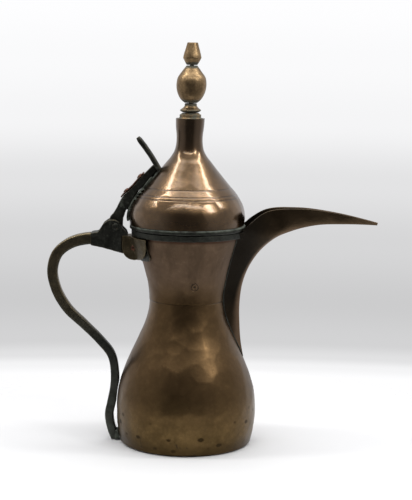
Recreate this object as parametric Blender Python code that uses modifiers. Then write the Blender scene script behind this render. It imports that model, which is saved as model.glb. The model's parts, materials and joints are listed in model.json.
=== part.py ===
"""A dallah, the Arabic coffee pot, of hammered copper and brass, made of its separate pieces.

Lengths are metres and +Z is up.  The origin is the centre of the base, on the surface that the pot
stands on.  The spout points along +X and the handle along -X.  The lid turns about the hinge pin,
which lies along Y.
"""

import math

import bmesh
import bpy
import numpy as np
from mathutils import Matrix

# Fits and sheet thicknesses
GAP = 0.0003               # left between two pieces that touch
WALL = 0.0012              # sheet of the belly and the neck
LID_WALL = 0.0011          # sheet of the lid
SPOUT_WALL = 0.0011        # sheet of the spout
SWING_CLEARANCE = 0.0014   # round the lid's bezel and outside its rim, so that it can lift

# Belly and neck
BASE_RADIUS = 0.0488
BASE_CORNER = 0.0025       # radius of the turned-in bottom edge
BASE_LIP = 0.0045          # width of the flange that the bottom plate meets
BELLY_RADIUS = 0.0525
BELLY_HEIGHT = 0.0270
WAIST_RADIUS = 0.0281
WAIST_HEIGHT = 0.1090
NECK_BEND = 0.35           # share of the neck's height in which its flare turns from upright
NECK_RADIUS = 0.0398       # at the neck's upper edge
NECK_TOP = 0.1571
MOUTH_RING_HEIGHT = 0.0045
MOUTH_RING_OUT = 0.0022    # how far it stands outside the neck
POUR_WIDTH = 0.0240        # opening in the neck behind the spout, at its top
POUR_BOTTOM = 0.0330       # its lower point, below the neck's edge
POUR_TOP = 0.0070          # its upper edge, below the neck's edge

# Spout
SPOUT_FOOT = 0.0610        # height of the spout's lowest point on the belly
SPOUT_BITE = 0.0040        # how far its raw edges reach into the body before they are coped
KEEL_ROUND = 0.30          # 0 is a sharp keel, 1 a round trough

# Lid
RIM_BAND_HEIGHT = 0.0032
LID_OVERHANG = 0.0034      # lid's largest radius, beyond the neck's
LID_NECK_RADIUS = 0.0096
DOME_HEIGHT = 0.0787
LID_LEAN = 0.020           # sideways step of the hand-raised dome for each unit of height, to the spout
LEAN_FROM = 0.0340         # height in the dome where it stands over the base's centre
BEZEL_DEPTH = 0.0075       # reaches down into the mouth from the rim band
BEZEL_WALL = 0.0010

# Finial
CAP_RADIUS = 0.0080
CAP_HEIGHT = 0.0036
PLUG_DEPTH = 0.0035        # of the cap's lower part, inside the lid's neck
COLLAR_RADIUS = 0.0078
COLLAR_HEIGHT = 0.0068
COLLAR_STEM = 0.0046       # radius of its upper part
BALL_RADIUS = 0.0112
BALL_HEIGHT = 0.0275
FINIAL_NECK_RADIUS = 0.0040
TIP_RADIUS = 0.0071
TIP_HEIGHT = 0.0165
TIP_WAIST = 0.0052         # height in the tip of its widest place
SPINDLE_RADIUS = 0.0016
SPINDLE_REACH = 0.0060     # of its hole in the tip
NUT_RADIUS = 0.0034        # peened end of the spindle, under the cap
NUT_HEIGHT = 0.0020

# Hinge
HINGE_OUT = 0.0137         # pin's axis, beyond the neck's radius
HINGE_RISE = 0.0017        # pin's axis, above the mouth ring
PIN_RADIUS = 0.0018
PIN_HEAD_RADIUS = 0.0027
PIN_HEAD_HEIGHT = 0.0009
ARM_WIDTH = 0.0070         # of the lid's arm, along the pin
ARM_PLAY = 0.00035         # each side of the arm, between the cheeks
CHEEK = 0.0030             # thickness of each cheek of the handle's head
EYE_RADIUS = 0.0050        # of the arm round the pin
HEAD_LENGTH = 0.0185       # from the pin's axis back to where the bar starts
SLOT_LENGTH = 0.0135       # of the arm's slot in the head, back from the pin's axis
SLOT_DEPTH = 0.0070        # below the pin's axis

# Bracket on the neck
SADDLE_WALL = 0.0010
BRACKET_WALL = 0.0022
BRACKET_RADIUS = 0.0092
BRACKET_DROP = 0.0092      # its centre, below the neck's edge
BRACKET_IN = 0.0003        # its centre, inside the neck's radius
TENON = 0.0050             # thickness of the head's tongue in the bracket
TENON_LENGTH = 0.0066
TENON_HEIGHT = 0.0072
RIVET_RADIUS = 0.0009
RIVET_HEAD_RADIUS = 0.0021
RIVET_HEAD_HEIGHT = 0.0008
RIVET_SET = 0.0015082      # its axis, beyond the saddle's outer face

# Handle
HANDLE_DEPTH = 0.0088      # of the bar at its head
HANDLE_FOOT_DEPTH = 0.0064
HANDLE_WIDTH = 0.0090
HANDLE_REACH = 0.0475      # bar's centre line, beyond the hinge pin
HANDLE_TOUCH = 0.0420      # height where the bar lies on the belly
HANDLE_FLOOR = 0.0008      # height of the bar's end
HANDLE_FOOT_GAP = 0.0009   # between the foot of the bar and the belly
HANDLE_LET_IN = 0.0006     # filed off the bar where it lies on the belly
HANDLE_CHAMFER = 0.0016
SOLDER_SIDE = 0.0006       # how far the foot's solder stands out on each side of the bar
SOLDER_REACH = 0.0036      # how far it reaches out under the bar
SOLDER_TOP = 0.0080

# Arm on the lid
ARM_PLATE_WALL = 0.0008
ARM_STRIP_WALL = 0.0010
ARM_PLATE_HALF = 0.0060    # half the width of the plate under the arm, between its scallops
ARM_RIVETS = (0.46, 0.76)  # places along the arm's outer edge
ARM_RIVET_LENGTH = 0.0040  # of the shank below that edge
THUMB_WIDTH = 0.0100
THUMB_THICKNESS = 0.0035
THUMB_RISE = 0.0220        # of the thumb piece's end, above its foot

# Fineness of the round pieces
SEGMENTS = 40
FINIAL_SEGMENTS = 20
DOME_STEPS = 18
BELLY_STEPS = 12
NECK_STEPS = 8
SHARP_ANGLE = 32           # degrees, above which an edge stays sharp when shaded

# Places that follow from the sizes above
MOUTH_RING_BOTTOM = NECK_TOP + GAP
MOUTH_RING_TOP = MOUTH_RING_BOTTOM + MOUTH_RING_HEIGHT
MOUTH_RING_RADIUS = NECK_RADIUS + MOUTH_RING_OUT
MOUTH_RADIUS = NECK_RADIUS - WALL
RIM_BAND_BOTTOM = MOUTH_RING_TOP + GAP
RIM_BAND_TOP = RIM_BAND_BOTTOM + RIM_BAND_HEIGHT
LID_RADIUS = NECK_RADIUS + LID_OVERHANG
DOME_BOTTOM = RIM_BAND_TOP + GAP
DOME_TOP = DOME_BOTTOM + DOME_HEIGHT
BEZEL_RADIUS = MOUTH_RADIUS - SWING_CLEARANCE
CAP_BOTTOM = DOME_TOP + GAP
CAP_TOP = CAP_BOTTOM + CAP_HEIGHT
COLLAR_BOTTOM = CAP_TOP + GAP
BALL_BOTTOM = COLLAR_BOTTOM + COLLAR_HEIGHT + GAP
TIP_BOTTOM = BALL_BOTTOM + BALL_HEIGHT + GAP
TIP_TOP = TIP_BOTTOM + TIP_HEIGHT
HINGE_X = -(NECK_RADIUS + HINGE_OUT)
HINGE_Z = MOUTH_RING_TOP + HINGE_RISE
HEAD_WIDTH = ARM_WIDTH + 2 * ARM_PLAY + 2 * CHEEK
HEAD_BACK = HINGE_X - HEAD_LENGTH
SLOT_BACK = HINGE_X - SLOT_LENGTH
SLOT_FLOOR = HINGE_Z - SLOT_DEPTH
BRACKET_X = -(NECK_RADIUS - BRACKET_IN)
BRACKET_Z = NECK_TOP - BRACKET_DROP

# Colour, roughness and metallic value of each finish
FINISHES = {
    "belly_brass": ((0.30, 0.20, 0.075), 0.34, 1.0),
    "neck_copper": ((0.30, 0.20, 0.12), 0.32, 1.0),
    "lid_copper": ((0.36, 0.20, 0.10), 0.30, 1.0),
    "dark_bronze": ((0.060, 0.058, 0.040), 0.48, 1.0),
    "spout_copper": ((0.15, 0.10, 0.055), 0.36, 1.0),
    "rim_verdigris": ((0.16, 0.18, 0.14), 0.60, 0.7),
    "finial_brass": ((0.32, 0.22, 0.08), 0.36, 1.0),
    "red_copper": ((0.38, 0.16, 0.10), 0.42, 1.0),
    "tinned_inside": ((0.42, 0.41, 0.38), 0.45, 1.0),
}


# ---- shapes as numbers --------------------------------------------------------------------------

def curve_through(points, count):
    """Evenly spaced points on a smooth curve through the given ones.

    Each stretch is a cubic in the distance along the chords, and its slope at a given point is the
    mean of the two chords' slopes there.
    """
    given = np.array(points, dtype=float)
    steps = np.linalg.norm(np.diff(given, axis=0), axis=1)
    run = np.concatenate([[0.0], np.cumsum(steps)])
    chords = np.diff(given, axis=0) / steps[:, None]
    slopes = np.empty_like(given)
    before, after = steps[:-1, None], steps[1:, None]
    slopes[1:-1] = (chords[:-1] * after + chords[1:] * before) / (before + after)
    slopes[0] = 1.5 * chords[0] - 0.5 * slopes[1]
    slopes[-1] = 1.5 * chords[-1] - 0.5 * slopes[-2]
    at = np.linspace(0.0, run[-1], count)
    index = np.clip(np.searchsorted(run, at, side="right") - 1, 0, len(steps) - 1)
    length = steps[index, None]
    t = (at - run[index])[:, None] / length
    return ((2 * t**3 - 3 * t**2 + 1) * given[index]
            + (t**3 - 2 * t**2 + t) * length * slopes[index]
            + (3 * t**2 - 2 * t**3) * given[index + 1]
            + (t**3 - t**2) * length * slopes[index + 1])


def body_radius(height):
    """Outer radius of the belly and neck at a height.

    The foot swells as a power curve to the belly, which falls in an S to the waist; the neck flares
    from the waist as a hyperbola.
    """
    if height < BELLY_HEIGHT:
        rest = 1.0 - height / BELLY_HEIGHT
        return BELLY_RADIUS - (BELLY_RADIUS - BASE_RADIUS) * rest**2.5
    if height < WAIST_HEIGHT:
        t = ((height - BELLY_HEIGHT) / (WAIST_HEIGHT - BELLY_HEIGHT)) ** 1.12
        return BELLY_RADIUS - (BELLY_RADIUS - WAIST_RADIUS) * t * t * (3.0 - 2.0 * t)
    t = (height - WAIST_HEIGHT) / (NECK_TOP - WAIST_HEIGHT)
    flare = (math.hypot(1.0, t / NECK_BEND) - 1.0) / (math.hypot(1.0, 1.0 / NECK_BEND) - 1.0)
    return WAIST_RADIUS + (NECK_RADIUS - WAIST_RADIUS) * flare


def body_outline(bottom, top, steps, offset=0.0):
    """(radius, height) points down the outside of the body, each moved outwards by offset."""
    return [(body_radius(z) + offset, z) for z in np.linspace(top, bottom, steps + 1)]


def dome_outline(steps=DOME_STEPS, offset=0.0):
    """(radius, height) points down the outside of the lid, moved outwards square to the surface."""
    # How far from the lid's neck to its rim each point stands, and how high from bottom to top
    shape = [(0.980, 0.0), (1.0, 0.08), (0.975, 0.145), (0.860, 0.253), (0.640, 0.366), (0.417, 0.479),
             (0.211, 0.588), (0.107, 0.644), (0.036, 0.701), (0.006, 0.760), (0.0, 0.815), (0.024, 0.926),
             (0.033, 1.0)]
    rows = [(LID_NECK_RADIUS + share * (LID_RADIUS - LID_NECK_RADIUS), DOME_BOTTOM + rise * DOME_HEIGHT)
            for share, rise in reversed(shape)]
    line = curve_through(rows, steps + 1)
    along = np.gradient(line, axis=0)
    along /= np.linalg.norm(along, axis=1)[:, None]
    return line + offset * np.column_stack([-along[:, 1], along[:, 0]])


def arc(centre, radius, start, end, steps):
    """Points of an arc in a plane, with its angles in degrees."""
    angles = np.radians(np.linspace(start, end, steps + 1))
    return [(centre[0] + radius * math.cos(a), centre[1] + radius * math.sin(a)) for a in angles]


def side_offset(line, distance):
    """The same line moved to its left by a distance, square to it at each point."""
    line = np.array(line)
    along = np.gradient(line, axis=0)
    along /= np.linalg.norm(along, axis=1)[:, None]
    return line + distance * np.column_stack([-along[:, 1], along[:, 0]])


# ---- making objects -----------------------------------------------------------------------------

def clear_scene():
    """Remove what the scene holds."""
    for item in list(bpy.data.objects):
        bpy.data.objects.remove(item)


def collection(name):
    """A new collection in the scene."""
    group = bpy.data.collections.new(name)
    bpy.context.scene.collection.children.link(group)
    return group


def finish_material(name):
    """The material of a finish, made once."""
    if name in bpy.data.materials:
        return bpy.data.materials[name]
    colour, roughness, metallic = FINISHES[name]
    made = bpy.data.materials.new(name)
    made.use_nodes = True
    shader = made.node_tree.nodes["Principled BSDF"]
    shader.inputs["Base Color"].default_value = (*colour, 1.0)
    shader.inputs["Roughness"].default_value = roughness
    shader.inputs["Metallic"].default_value = metallic
    return made


def leaned(made):
    """The piece sheared sideways as the lid's dome leans, about its height over the base's centre."""
    shear = Matrix.Identity(4)
    shear[0][2] = LID_LEAN
    shear[0][3] = -LID_LEAN * (DOME_BOTTOM + LEAN_FROM)
    made = as_mesh(made)
    made.data.transform(shear)
    return made


def add(name, data):
    """An object of the given mesh or curve, in the collection of cutters until it is finished."""
    made = bpy.data.objects.new(name, data)
    CUTTERS.objects.link(made)
    made.hide_render = True
    if made.type == "MESH":
        made.display_type = "WIRE"
    return made


def finished(made, finish):
    """Make a shape one of the pot's pieces, with its finish and smooth shading."""
    CUTTERS.objects.unlink(made)
    DALLAH.objects.link(made)
    made.hide_render = False
    made.display_type = "TEXTURED"
    made.data.materials.clear()
    made.data.materials.append(finish_material(finish))
    made.data.shade_smooth()
    made.data.set_sharp_from_angle(angle=math.radians(SHARP_ANGLE))
    return made


def turned(name, outline, segments=SEGMENTS, closed=True):
    """A turned solid: (radius, height) points that run down the outside, swept round Z.

    A closed outline makes a ring.  An open one starts and ends on the axis.
    """
    mesh = bpy.data.meshes.new(name)
    points = [(radius, 0.0, height) for radius, height in outline]
    edges = [(i, i + 1) for i in range(len(points) - 1)]
    if closed:
        edges.append((len(points) - 1, 0))
    mesh.from_pydata(points, edges, [])
    made = add(name, mesh)
    screw = made.modifiers.new("Turn", "SCREW")
    screw.axis = "Z"
    screw.steps = segments
    screw.render_steps = segments
    screw.use_merge_vertices = True
    screw.merge_threshold = 0.00002
    return made


def shell(name, outer, inner, segments=SEGMENTS):
    """A turned sheet between an outer and an inner outline, both given from the top down."""
    return turned(name, list(outer) + list(inner)[::-1], segments)


def as_mesh(made):
    """The object as a plain mesh: its modifiers or curve evaluated, with its places welded."""
    bpy.context.view_layer.update()
    graph = bpy.context.evaluated_depsgraph_get()
    mesh = bpy.data.meshes.new_from_object(made.evaluated_get(graph))
    work = bmesh.new()
    work.from_mesh(mesh)
    bmesh.ops.remove_doubles(work, verts=work.verts, dist=0.00001)
    bmesh.ops.recalc_face_normals(work, faces=work.faces)
    work.to_mesh(mesh)
    work.free()
    name = made.name
    place = made.matrix_world.copy()
    bpy.data.objects.remove(made)
    plain = add(name, mesh)
    plain.matrix_world = place
    return plain


def plate(name, outline, thickness, facing="Y", at=0.0):
    """A flat outline given half its thickness to each side.

    Facing Y the outline is (x, z), facing X it is (y, z), and facing Z it is (x, y).
    """
    curve = bpy.data.curves.new(name, "CURVE")
    curve.dimensions = "2D"
    curve.fill_mode = "BOTH"
    curve.extrude = thickness / 2
    spline = curve.splines.new("POLY")
    spline.points.add(len(outline) - 1)
    for point, (a, b) in zip(spline.points, outline):
        point.co = (a, b, 0.0, 1.0)
    spline.use_cyclic_u = True
    made = add(name, curve)
    turn = {"X": (math.pi / 2, 0.0, math.pi / 2), "Y": (math.pi / 2, 0.0, 0.0), "Z": (0.0, 0.0, 0.0)}
    place = {"X": (at, 0.0, 0.0), "Y": (0.0, at, 0.0), "Z": (0.0, 0.0, at)}
    made.rotation_euler = turn[facing]
    made.location = place[facing]
    return as_mesh(made)


def block(name, low, high):
    """A box between two corners."""
    outline = [(low[0], low[1]), (high[0], low[1]), (high[0], high[1]), (low[0], high[1])]
    return plate(name, outline, high[2] - low[2], "Z", (low[2] + high[2]) / 2)


def rod(name, radius, length, centre, direction, segments=FINIAL_SEGMENTS):
    """A cylinder along a direction."""
    mesh = bpy.data.meshes.new(name)
    work = bmesh.new()
    bmesh.ops.create_cone(work, cap_ends=True, segments=segments, depth=length,
                          radius1=radius, radius2=radius)
    work.to_mesh(mesh)
    work.free()
    made = add(name, mesh)
    made.rotation_euler = direction_turn(direction)
    made.location = centre
    return made


def direction_turn(direction):
    """Turn that takes +Z to a direction in the XZ plane, or to +Y."""
    if direction == "Y":
        return (-math.pi / 2, 0.0, 0.0)
    return (0.0, math.atan2(direction[0], direction[1]), 0.0)


def combine(made, other, how):
    """Join, cut or keep the common part of a shape, by an exact Boolean."""
    step = made.modifiers.new(how.title(), "BOOLEAN")
    step.operation = how
    step.object = other
    step.solver = "EXACT"
    return made


def cut(made, *others):
    """Cut each of the other shapes away."""
    for other in others:
        combine(made, other, "DIFFERENCE")
    return made


def loft(name, rings):
    """A solid through closed rings of points, all with as many points, with flat ends."""
    mesh = bpy.data.meshes.new(name)
    work = bmesh.new()
    rows = [[work.verts.new(point) for point in ring] for ring in rings]
    for low, high in zip(rows, rows[1:]):
        for i in range(len(low)):
            j = (i + 1) % len(low)
            work.faces.new((low[i], low[j], high[j], high[i]))
    for end in (rows[0][::-1], rows[-1]):
        half = len(end) // 2
        for i in range(half - 1):
            work.faces.new((end[i], end[i + 1], end[-i - 2], end[-i - 1]))
    bmesh.ops.recalc_face_normals(work, faces=work.faces)
    work.to_mesh(mesh)
    work.free()
    return add(name, mesh)


# ---- body ---------------------------------------------------------------------------------------

def body_keepout(name, offset):
    """The body filled solid, and offset outwards: what a piece on the body is coped against."""
    ring = MOUTH_RING_RADIUS + offset
    rim = LID_RADIUS + SWING_CLEARANCE
    outline = [(0.0, DOME_BOTTOM + DOME_HEIGHT / 2), (rim, DOME_BOTTOM + DOME_HEIGHT / 2),
               (rim, MOUTH_RING_TOP), (ring, MOUTH_RING_TOP), (ring, NECK_TOP)]
    outline += body_outline(WAIST_HEIGHT, NECK_TOP, NECK_STEPS, offset)
    outline += body_outline(BASE_CORNER, WAIST_HEIGHT, BELLY_STEPS, offset)[1:]
    outline += [(BASE_RADIUS + offset, -0.01), (0.0, -0.01)]
    return as_mesh(turned(name, outline, closed=False))


def make_belly():
    """Raised brass belly, with its lower edge turned in as a flange."""
    centre = (body_radius(BASE_CORNER) - BASE_CORNER, BASE_CORNER)
    flange = centre[0] - BASE_LIP
    top = WAIST_HEIGHT - GAP / 2
    outer = body_outline(BASE_CORNER, top, BELLY_STEPS) + arc(centre, BASE_CORNER, -30, -90, 2)
    outer.append((flange, 0.0))
    inner = body_outline(BASE_CORNER, top, BELLY_STEPS, -WALL) + arc(centre, BASE_CORNER - WALL, -30, -90, 2)
    inner.append((flange, WALL))
    finished(shell("belly_shell", outer, inner), "belly_brass")
    disc = flange - GAP
    finished(turned("bottom_plate", [(0.0, WALL), (disc, WALL), (disc, 0.0), (0.0, 0.0)], closed=False),
             "belly_brass")


def make_neck():
    """Flared neck above the waist seam, with the pouring opening cut through behind the spout."""
    bottom = WAIST_HEIGHT + GAP / 2
    outer = body_outline(bottom, NECK_TOP, NECK_STEPS)
    neck = shell("neck_shell", outer, body_outline(bottom, NECK_TOP, NECK_STEPS, -WALL))
    half = POUR_WIDTH / 2
    outline = [(-half, NECK_TOP - POUR_TOP), (half, NECK_TOP - POUR_TOP),
               (0.002, NECK_TOP - POUR_BOTTOM), (-0.002, NECK_TOP - POUR_BOTTOM)]
    opening = plate("pour_cutter", outline, 2 * NECK_RADIUS, "X", 1.25 * NECK_RADIUS)
    finished(cut(as_mesh(neck), opening), "neck_copper")


def make_mouth_ring():
    """Ring soldered round the neck's upper edge, which the lid shuts on."""
    outline = [(MOUTH_RING_RADIUS, MOUTH_RING_TOP), (MOUTH_RING_RADIUS, MOUTH_RING_BOTTOM),
               (MOUTH_RADIUS, MOUTH_RING_BOTTOM), (MOUTH_RADIUS, MOUTH_RING_TOP)]
    finished(turned("mouth_ring", outline), "dark_bronze")


def spout_rows():
    """Rows down the spout from its foot to its tip: keel (x, z), then one edge (x, y, z).

    On the body a row is set by its height, how far the keel stands out and half the width of the
    mouth that it covers.  The beak's rows are measured from the neck's upper edge.
    """
    on_body = [(0.000, -0.0006, 0.0018), (0.140, 0.0026, 0.0040), (0.320, 0.0084, 0.0070),
               (0.485, 0.0116, 0.0100), (0.635, 0.0121, 0.0135), (0.765, 0.0136, 0.0170),
               (0.880, 0.0176, 0.0195)]
    rows = []
    for share, proud, half in on_body:
        keel = SPOUT_FOOT + share * (NECK_TOP - SPOUT_FOOT)
        edge = keel + 0.0015 + 0.0120 * share**2
        inside = body_radius(min(edge, NECK_TOP)) - SPOUT_BITE
        x = math.sqrt(max(inside**2 - half**2, 0.0))
        rows.append((body_radius(keel) + proud, keel, x, half, edge))
    beak = [(0.0242, -0.0022, 0.0025, 0.0175, 0.0080), (0.0372, 0.0040, 0.0182, 0.0098, 0.0190),
            (0.0557, 0.0088, 0.0420, 0.0056, 0.0214), (0.0780, 0.0099, 0.0690, 0.0032, 0.0186),
            (0.1016, 0.0094, 0.1019, 0.0013, 0.0112)]
    for keel_x, keel_z, edge_x, half, edge_z in beak:
        rows.append((NECK_RADIUS + keel_x, NECK_TOP + keel_z, NECK_RADIUS + edge_x, half, NECK_TOP + edge_z))
    return rows


def make_spout():
    """Long curved spout: a trough of sheet with flat sides and a rounded keel, coped to the body."""
    across = np.linspace(-1.0, 1.0, 9)
    bow = np.hypot(across, KEEL_ROUND) - KEEL_ROUND
    bow /= bow[-1]
    rings = []
    for keel_x, keel_z, edge_x, half, edge_z in curve_through(spout_rows(), 34):
        depth = math.hypot(edge_x - keel_x, edge_z - keel_z)
        up = np.array([edge_x - keel_x, 0.0, edge_z - keel_z]) / depth
        slant = math.hypot(depth, half)
        sheet = min(SPOUT_WALL, 0.40 * half)
        keel_sheet = min(sheet * slant / half, 0.45 * depth)
        side_sheet = min(sheet * slant / depth, 0.60 * half)
        ring = [np.array([keel_x, half * v, keel_z]) + up * depth * h for v, h in zip(across, bow)]
        for v, h in list(zip(across, bow))[::-1]:
            rise = keel_sheet + (depth - keel_sheet) * h
            ring.append(np.array([keel_x, (half - side_sheet) * v, keel_z]) + up * rise)
        rings.append(ring)
    spout = loft("spout", rings)
    finished(cut(spout, body_keepout("spout_cope", GAP)), "spout_copper")


# ---- hinge bracket and handle -------------------------------------------------------------------

def bracket_outline(grow=0.0):
    """Side view of the bracket: a tongue with a round lower end and a level top."""
    radius = BRACKET_RADIUS + grow
    top = NECK_TOP - GAP + grow
    return [(BRACKET_X + radius, top), (BRACKET_X - radius, top)] + arc(
        (BRACKET_X, BRACKET_Z), radius, 180, 360, 12)


def on_neck(name, inside, thickness, outline):
    """A piece of sheet that lies on the neck: the shell at that distance, within a side outline."""
    low, high = WAIST_HEIGHT, NECK_TOP - GAP
    outer = body_outline(low, high, NECK_STEPS, inside + thickness)
    piece = as_mesh(shell(name, outer, body_outline(low, high, NECK_STEPS, inside)))
    combine(piece, plate(name + "_outline", outline, 3 * NECK_RADIUS), "INTERSECT")
    return piece


def make_saddle():
    """Thin plate soldered to the neck under the bracket, a little wider towards its lower end."""
    half = BRACKET_RADIUS
    outline = [(BRACKET_X - 2 * half, NECK_TOP), (BRACKET_X + 0.82 * half, NECK_TOP),
               (BRACKET_X + 1.10 * half, BRACKET_Z), (BRACKET_X + 1.42 * half, BRACKET_Z - 0.95 * half),
               (BRACKET_X + 0.8 * half, BRACKET_Z - 1.12 * half),
               (BRACKET_X - 2 * half, BRACKET_Z - 1.12 * half)]
    finished(on_neck("neck_saddle", GAP, SADDLE_WALL, outline), "dark_bronze")


def tenon_outline(grow=0.0):
    """Side view of the tongue of the handle's head that enters the bracket's lug."""
    left = BRACKET_X - BRACKET_RADIUS
    right = left + TENON_LENGTH + grow
    middle = BRACKET_Z + 0.0012
    half = TENON_HEIGHT / 2 + grow
    return [(left - 0.006, middle - half), (right, middle - half), (right, middle + half),
            (left - 0.006, middle + half)]


def make_bracket():
    """Bracket with a solid lug for the handle's head and two wings that wrap round the neck."""
    inside = 2 * GAP + SADDLE_WALL
    outer = body_outline(WAIST_HEIGHT, NECK_TOP, NECK_STEPS, inside + BRACKET_WALL)
    bracket = as_mesh(turned("hinge_bracket", [(0.0, NECK_TOP), *outer, (0.0, WAIST_HEIGHT)], closed=False))
    half = HEAD_WIDTH / 2
    lug = block("lug", (2 * BRACKET_X, -half, WAIST_HEIGHT), (0.5 * BRACKET_X, half, NECK_TOP))
    combine(bracket, lug, "UNION")
    combine(bracket, plate("bracket_outline", bracket_outline(), 3 * NECK_RADIUS), "INTERSECT")
    cut(bracket, body_keepout("bracket_cope", inside))
    cut(bracket, plate("tenon_slot", tenon_outline(GAP), TENON + 2 * GAP))
    x, _, z = rivet_place()
    cut(bracket, rod("rivet_hole", RIVET_RADIUS + GAP, HEAD_WIDTH + 2 * GAP, (x, 0.0, z), "Y"))
    deep = 2 * BRACKET_WALL
    for side in (-1, 1):
        centre = (x, side * (half + deep / 2), z)
        cut(bracket, rod("rivet_seat", RIVET_HEAD_RADIUS + GAP, deep, centre, "Y"))
    finished(bracket, "dark_bronze")


def rivet_place():
    """Centre of the copper rivet through the bracket's lug, beyond the saddle that it stands on."""
    z = BRACKET_Z + 0.0001
    return (-(body_radius(z) + 2 * GAP + SADDLE_WALL + RIVET_SET), 0.0, z)


def cross_rivet(name, radius, head_radius, head_height, grip, centre, finish):
    """A rivet or pin along Y with a low domed head at each end of its grip."""
    half = grip / 2 + GAP
    end = half + head_height
    outline = [(0.0, end), (0.55 * head_radius, end - 0.15 * head_height),
               (head_radius, half + 0.3 * head_height), (head_radius, half), (radius, half)]
    outline += [(r, -z) for r, z in outline[::-1]]
    piece = turned(name, outline, FINIAL_SEGMENTS, closed=False)
    piece.rotation_euler = direction_turn("Y")
    piece.location = centre
    finished(piece, finish)


def head_outline():
    """Side view of the handle's head, from its back over the hinge and down to the bracket."""
    back, x, z = HEAD_BACK, HINGE_X, HINGE_Z
    edge = BRACKET_X - BRACKET_RADIUS
    top = [(back, z - 0.0050), (back + 0.0052, z - 0.0042), (back + 0.0070, z - 0.0018),
           (x - 0.0092, z + 0.0022), (x - 0.0052, z + 0.0050), (x - 0.0008, z + 0.0053),
           (x + 0.0029, z + 0.0034), (x + 0.0046, z - 0.0003), (x + 0.0078, z - 0.0036),
           (edge + 0.004, NECK_TOP + GAP)]
    bottom = [(edge + 0.004, BRACKET_Z - 0.0050), (x + 0.0050, z - 0.0199), (x, z - 0.0185),
              (x - 0.0090, z - 0.0160), (back, z - 0.0141)]
    return top + bottom


def make_head():
    """Handle's head: two cheeks that hold the hinge pin, and a tongue that enters the bracket."""
    head = plate("handle_head", head_outline(), HEAD_WIDTH)
    cut(head, plate("bracket_clear", bracket_outline(GAP), 2 * HEAD_WIDTH))
    head = as_mesh(head)
    head = as_mesh(combine(head, plate("tenon", tenon_outline(), TENON), "UNION"))
    slot = ARM_WIDTH / 2 + ARM_PLAY
    cut(head, block("arm_slot", (SLOT_BACK, -slot, SLOT_FLOOR), (HINGE_X + 0.02, slot, HINGE_Z + 0.02)))
    cut(head, rod("pin_bore", PIN_RADIUS + GAP, 0.04, (HINGE_X, 0.0, HINGE_Z), "Y"))
    finished(head, "dark_bronze")


def handle_line(count):
    """Centre line of the handle's bar as (x, z): an S from the head, over, and down to the floor."""
    far = HINGE_X - HANDLE_REACH
    high = HINGE_Z
    touch = -(body_radius(HANDLE_TOUCH) + GAP + HANDLE_FOOT_DEPTH / 2 - HANDLE_LET_IN)
    foot = -(body_radius(0.0) + HANDLE_FOOT_GAP + HANDLE_FOOT_DEPTH / 2)
    low = HANDLE_TOUCH
    # Heights of the middle stretch are shares of the way from where the bar touches to the hinge
    rise = high - low
    points = [(HEAD_BACK + 0.0040, high - 0.0093), (HEAD_BACK - 0.0055, high - 0.0102),
              (far + 0.0130, high - 0.0136), (far + 0.0040, high - 0.0210), (far, high - 0.0340),
              (far + 0.0025, low + 0.610 * rise), (far + 0.0110, low + 0.485 * rise),
              (far + 0.0235, low + 0.385 * rise), (0.62 * touch + 0.38 * (far + 0.0160), low + 0.290 * rise),
              (touch - 0.0024, low + 0.190 * rise), (touch + 0.0001, low + 0.085 * rise), (touch, low),
              (touch - 0.0024, 0.68 * low), (touch - 0.0040, 0.47 * low), (foot - 0.0036, 0.0100),
              (foot, 0.0), (foot + 0.0025, -0.0060)]
    return curve_through(points, count)


def handle_bar(name, grow=0.0):
    """The handle's bar: a chamfered rectangle carried along its centre line, slimmer to its foot."""
    half_depth = HANDLE_DEPTH / 2 + grow
    half_width = HANDLE_WIDTH / 2 + grow
    corners = [(half_width, half_depth - HANDLE_CHAMFER), (half_width - HANDLE_CHAMFER, half_depth)]
    corners += [(-a, b) for a, b in corners[::-1]]
    corners += [(-a, -b) for a, b in corners]
    guide = bpy.data.curves.new(name + "_section", "CURVE")
    guide.dimensions = "2D"
    loop = guide.splines.new("POLY")
    loop.points.add(len(corners) - 1)
    for point, (a, b) in zip(loop.points, corners):
        point.co = (b, a, 0.0, 1.0)
    loop.use_cyclic_u = True
    section = add(name + "_section", guide)
    curve = bpy.data.curves.new(name, "CURVE")
    curve.dimensions = "3D"
    curve.bevel_mode = "OBJECT"
    curve.bevel_object = section
    curve.use_fill_caps = True
    line = handle_line(44)
    slimmer = HANDLE_FOOT_DEPTH / HANDLE_DEPTH
    spline = curve.splines.new("POLY")
    spline.points.add(len(line) - 1)
    for i, (point, (x, z)) in enumerate(zip(spline.points, line)):
        point.co = (x, 0.0, z, 1.0)
        share = min(i / (0.55 * len(line)), 1.0)
        point.radius = 1.0 + (slimmer - 1.0) * share
    made = as_mesh(add(name, curve))
    bpy.data.objects.remove(section)
    return made


def make_handle():
    """Bent handle bar, let into the back of its head and coped to the belly and the floor."""
    bar = handle_bar("handle_bar")
    cut(bar, block("head_face", (HEAD_BACK - GAP, -0.05, HINGE_Z - 0.05), (HINGE_X, 0.05, HINGE_Z + 0.05)))
    cut(bar, block("floor_face", (-0.2, -0.05, -0.05), (0.0, 0.05, HANDLE_FLOOR)))
    cut(bar, body_keepout("bar_cope", GAP))
    finished(bar, "dark_bronze")


def make_foot_solder():
    """Fillet of solder that joins the foot of the bar to the belly."""
    half = HANDLE_WIDTH / 2 + SOLDER_SIDE
    reach = body_radius(0.0) + HANDLE_FOOT_GAP + SOLDER_REACH
    fillet = block("foot_solder", (-reach, -half, HANDLE_FLOOR), (-0.75 * BASE_RADIUS, half, SOLDER_TOP))
    cut(fillet, handle_bar("foot_cope", GAP), body_keepout("fillet_cope", GAP))
    finished(fillet, "rim_verdigris")


# ---- lid ----------------------------------------------------------------------------------------

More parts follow.
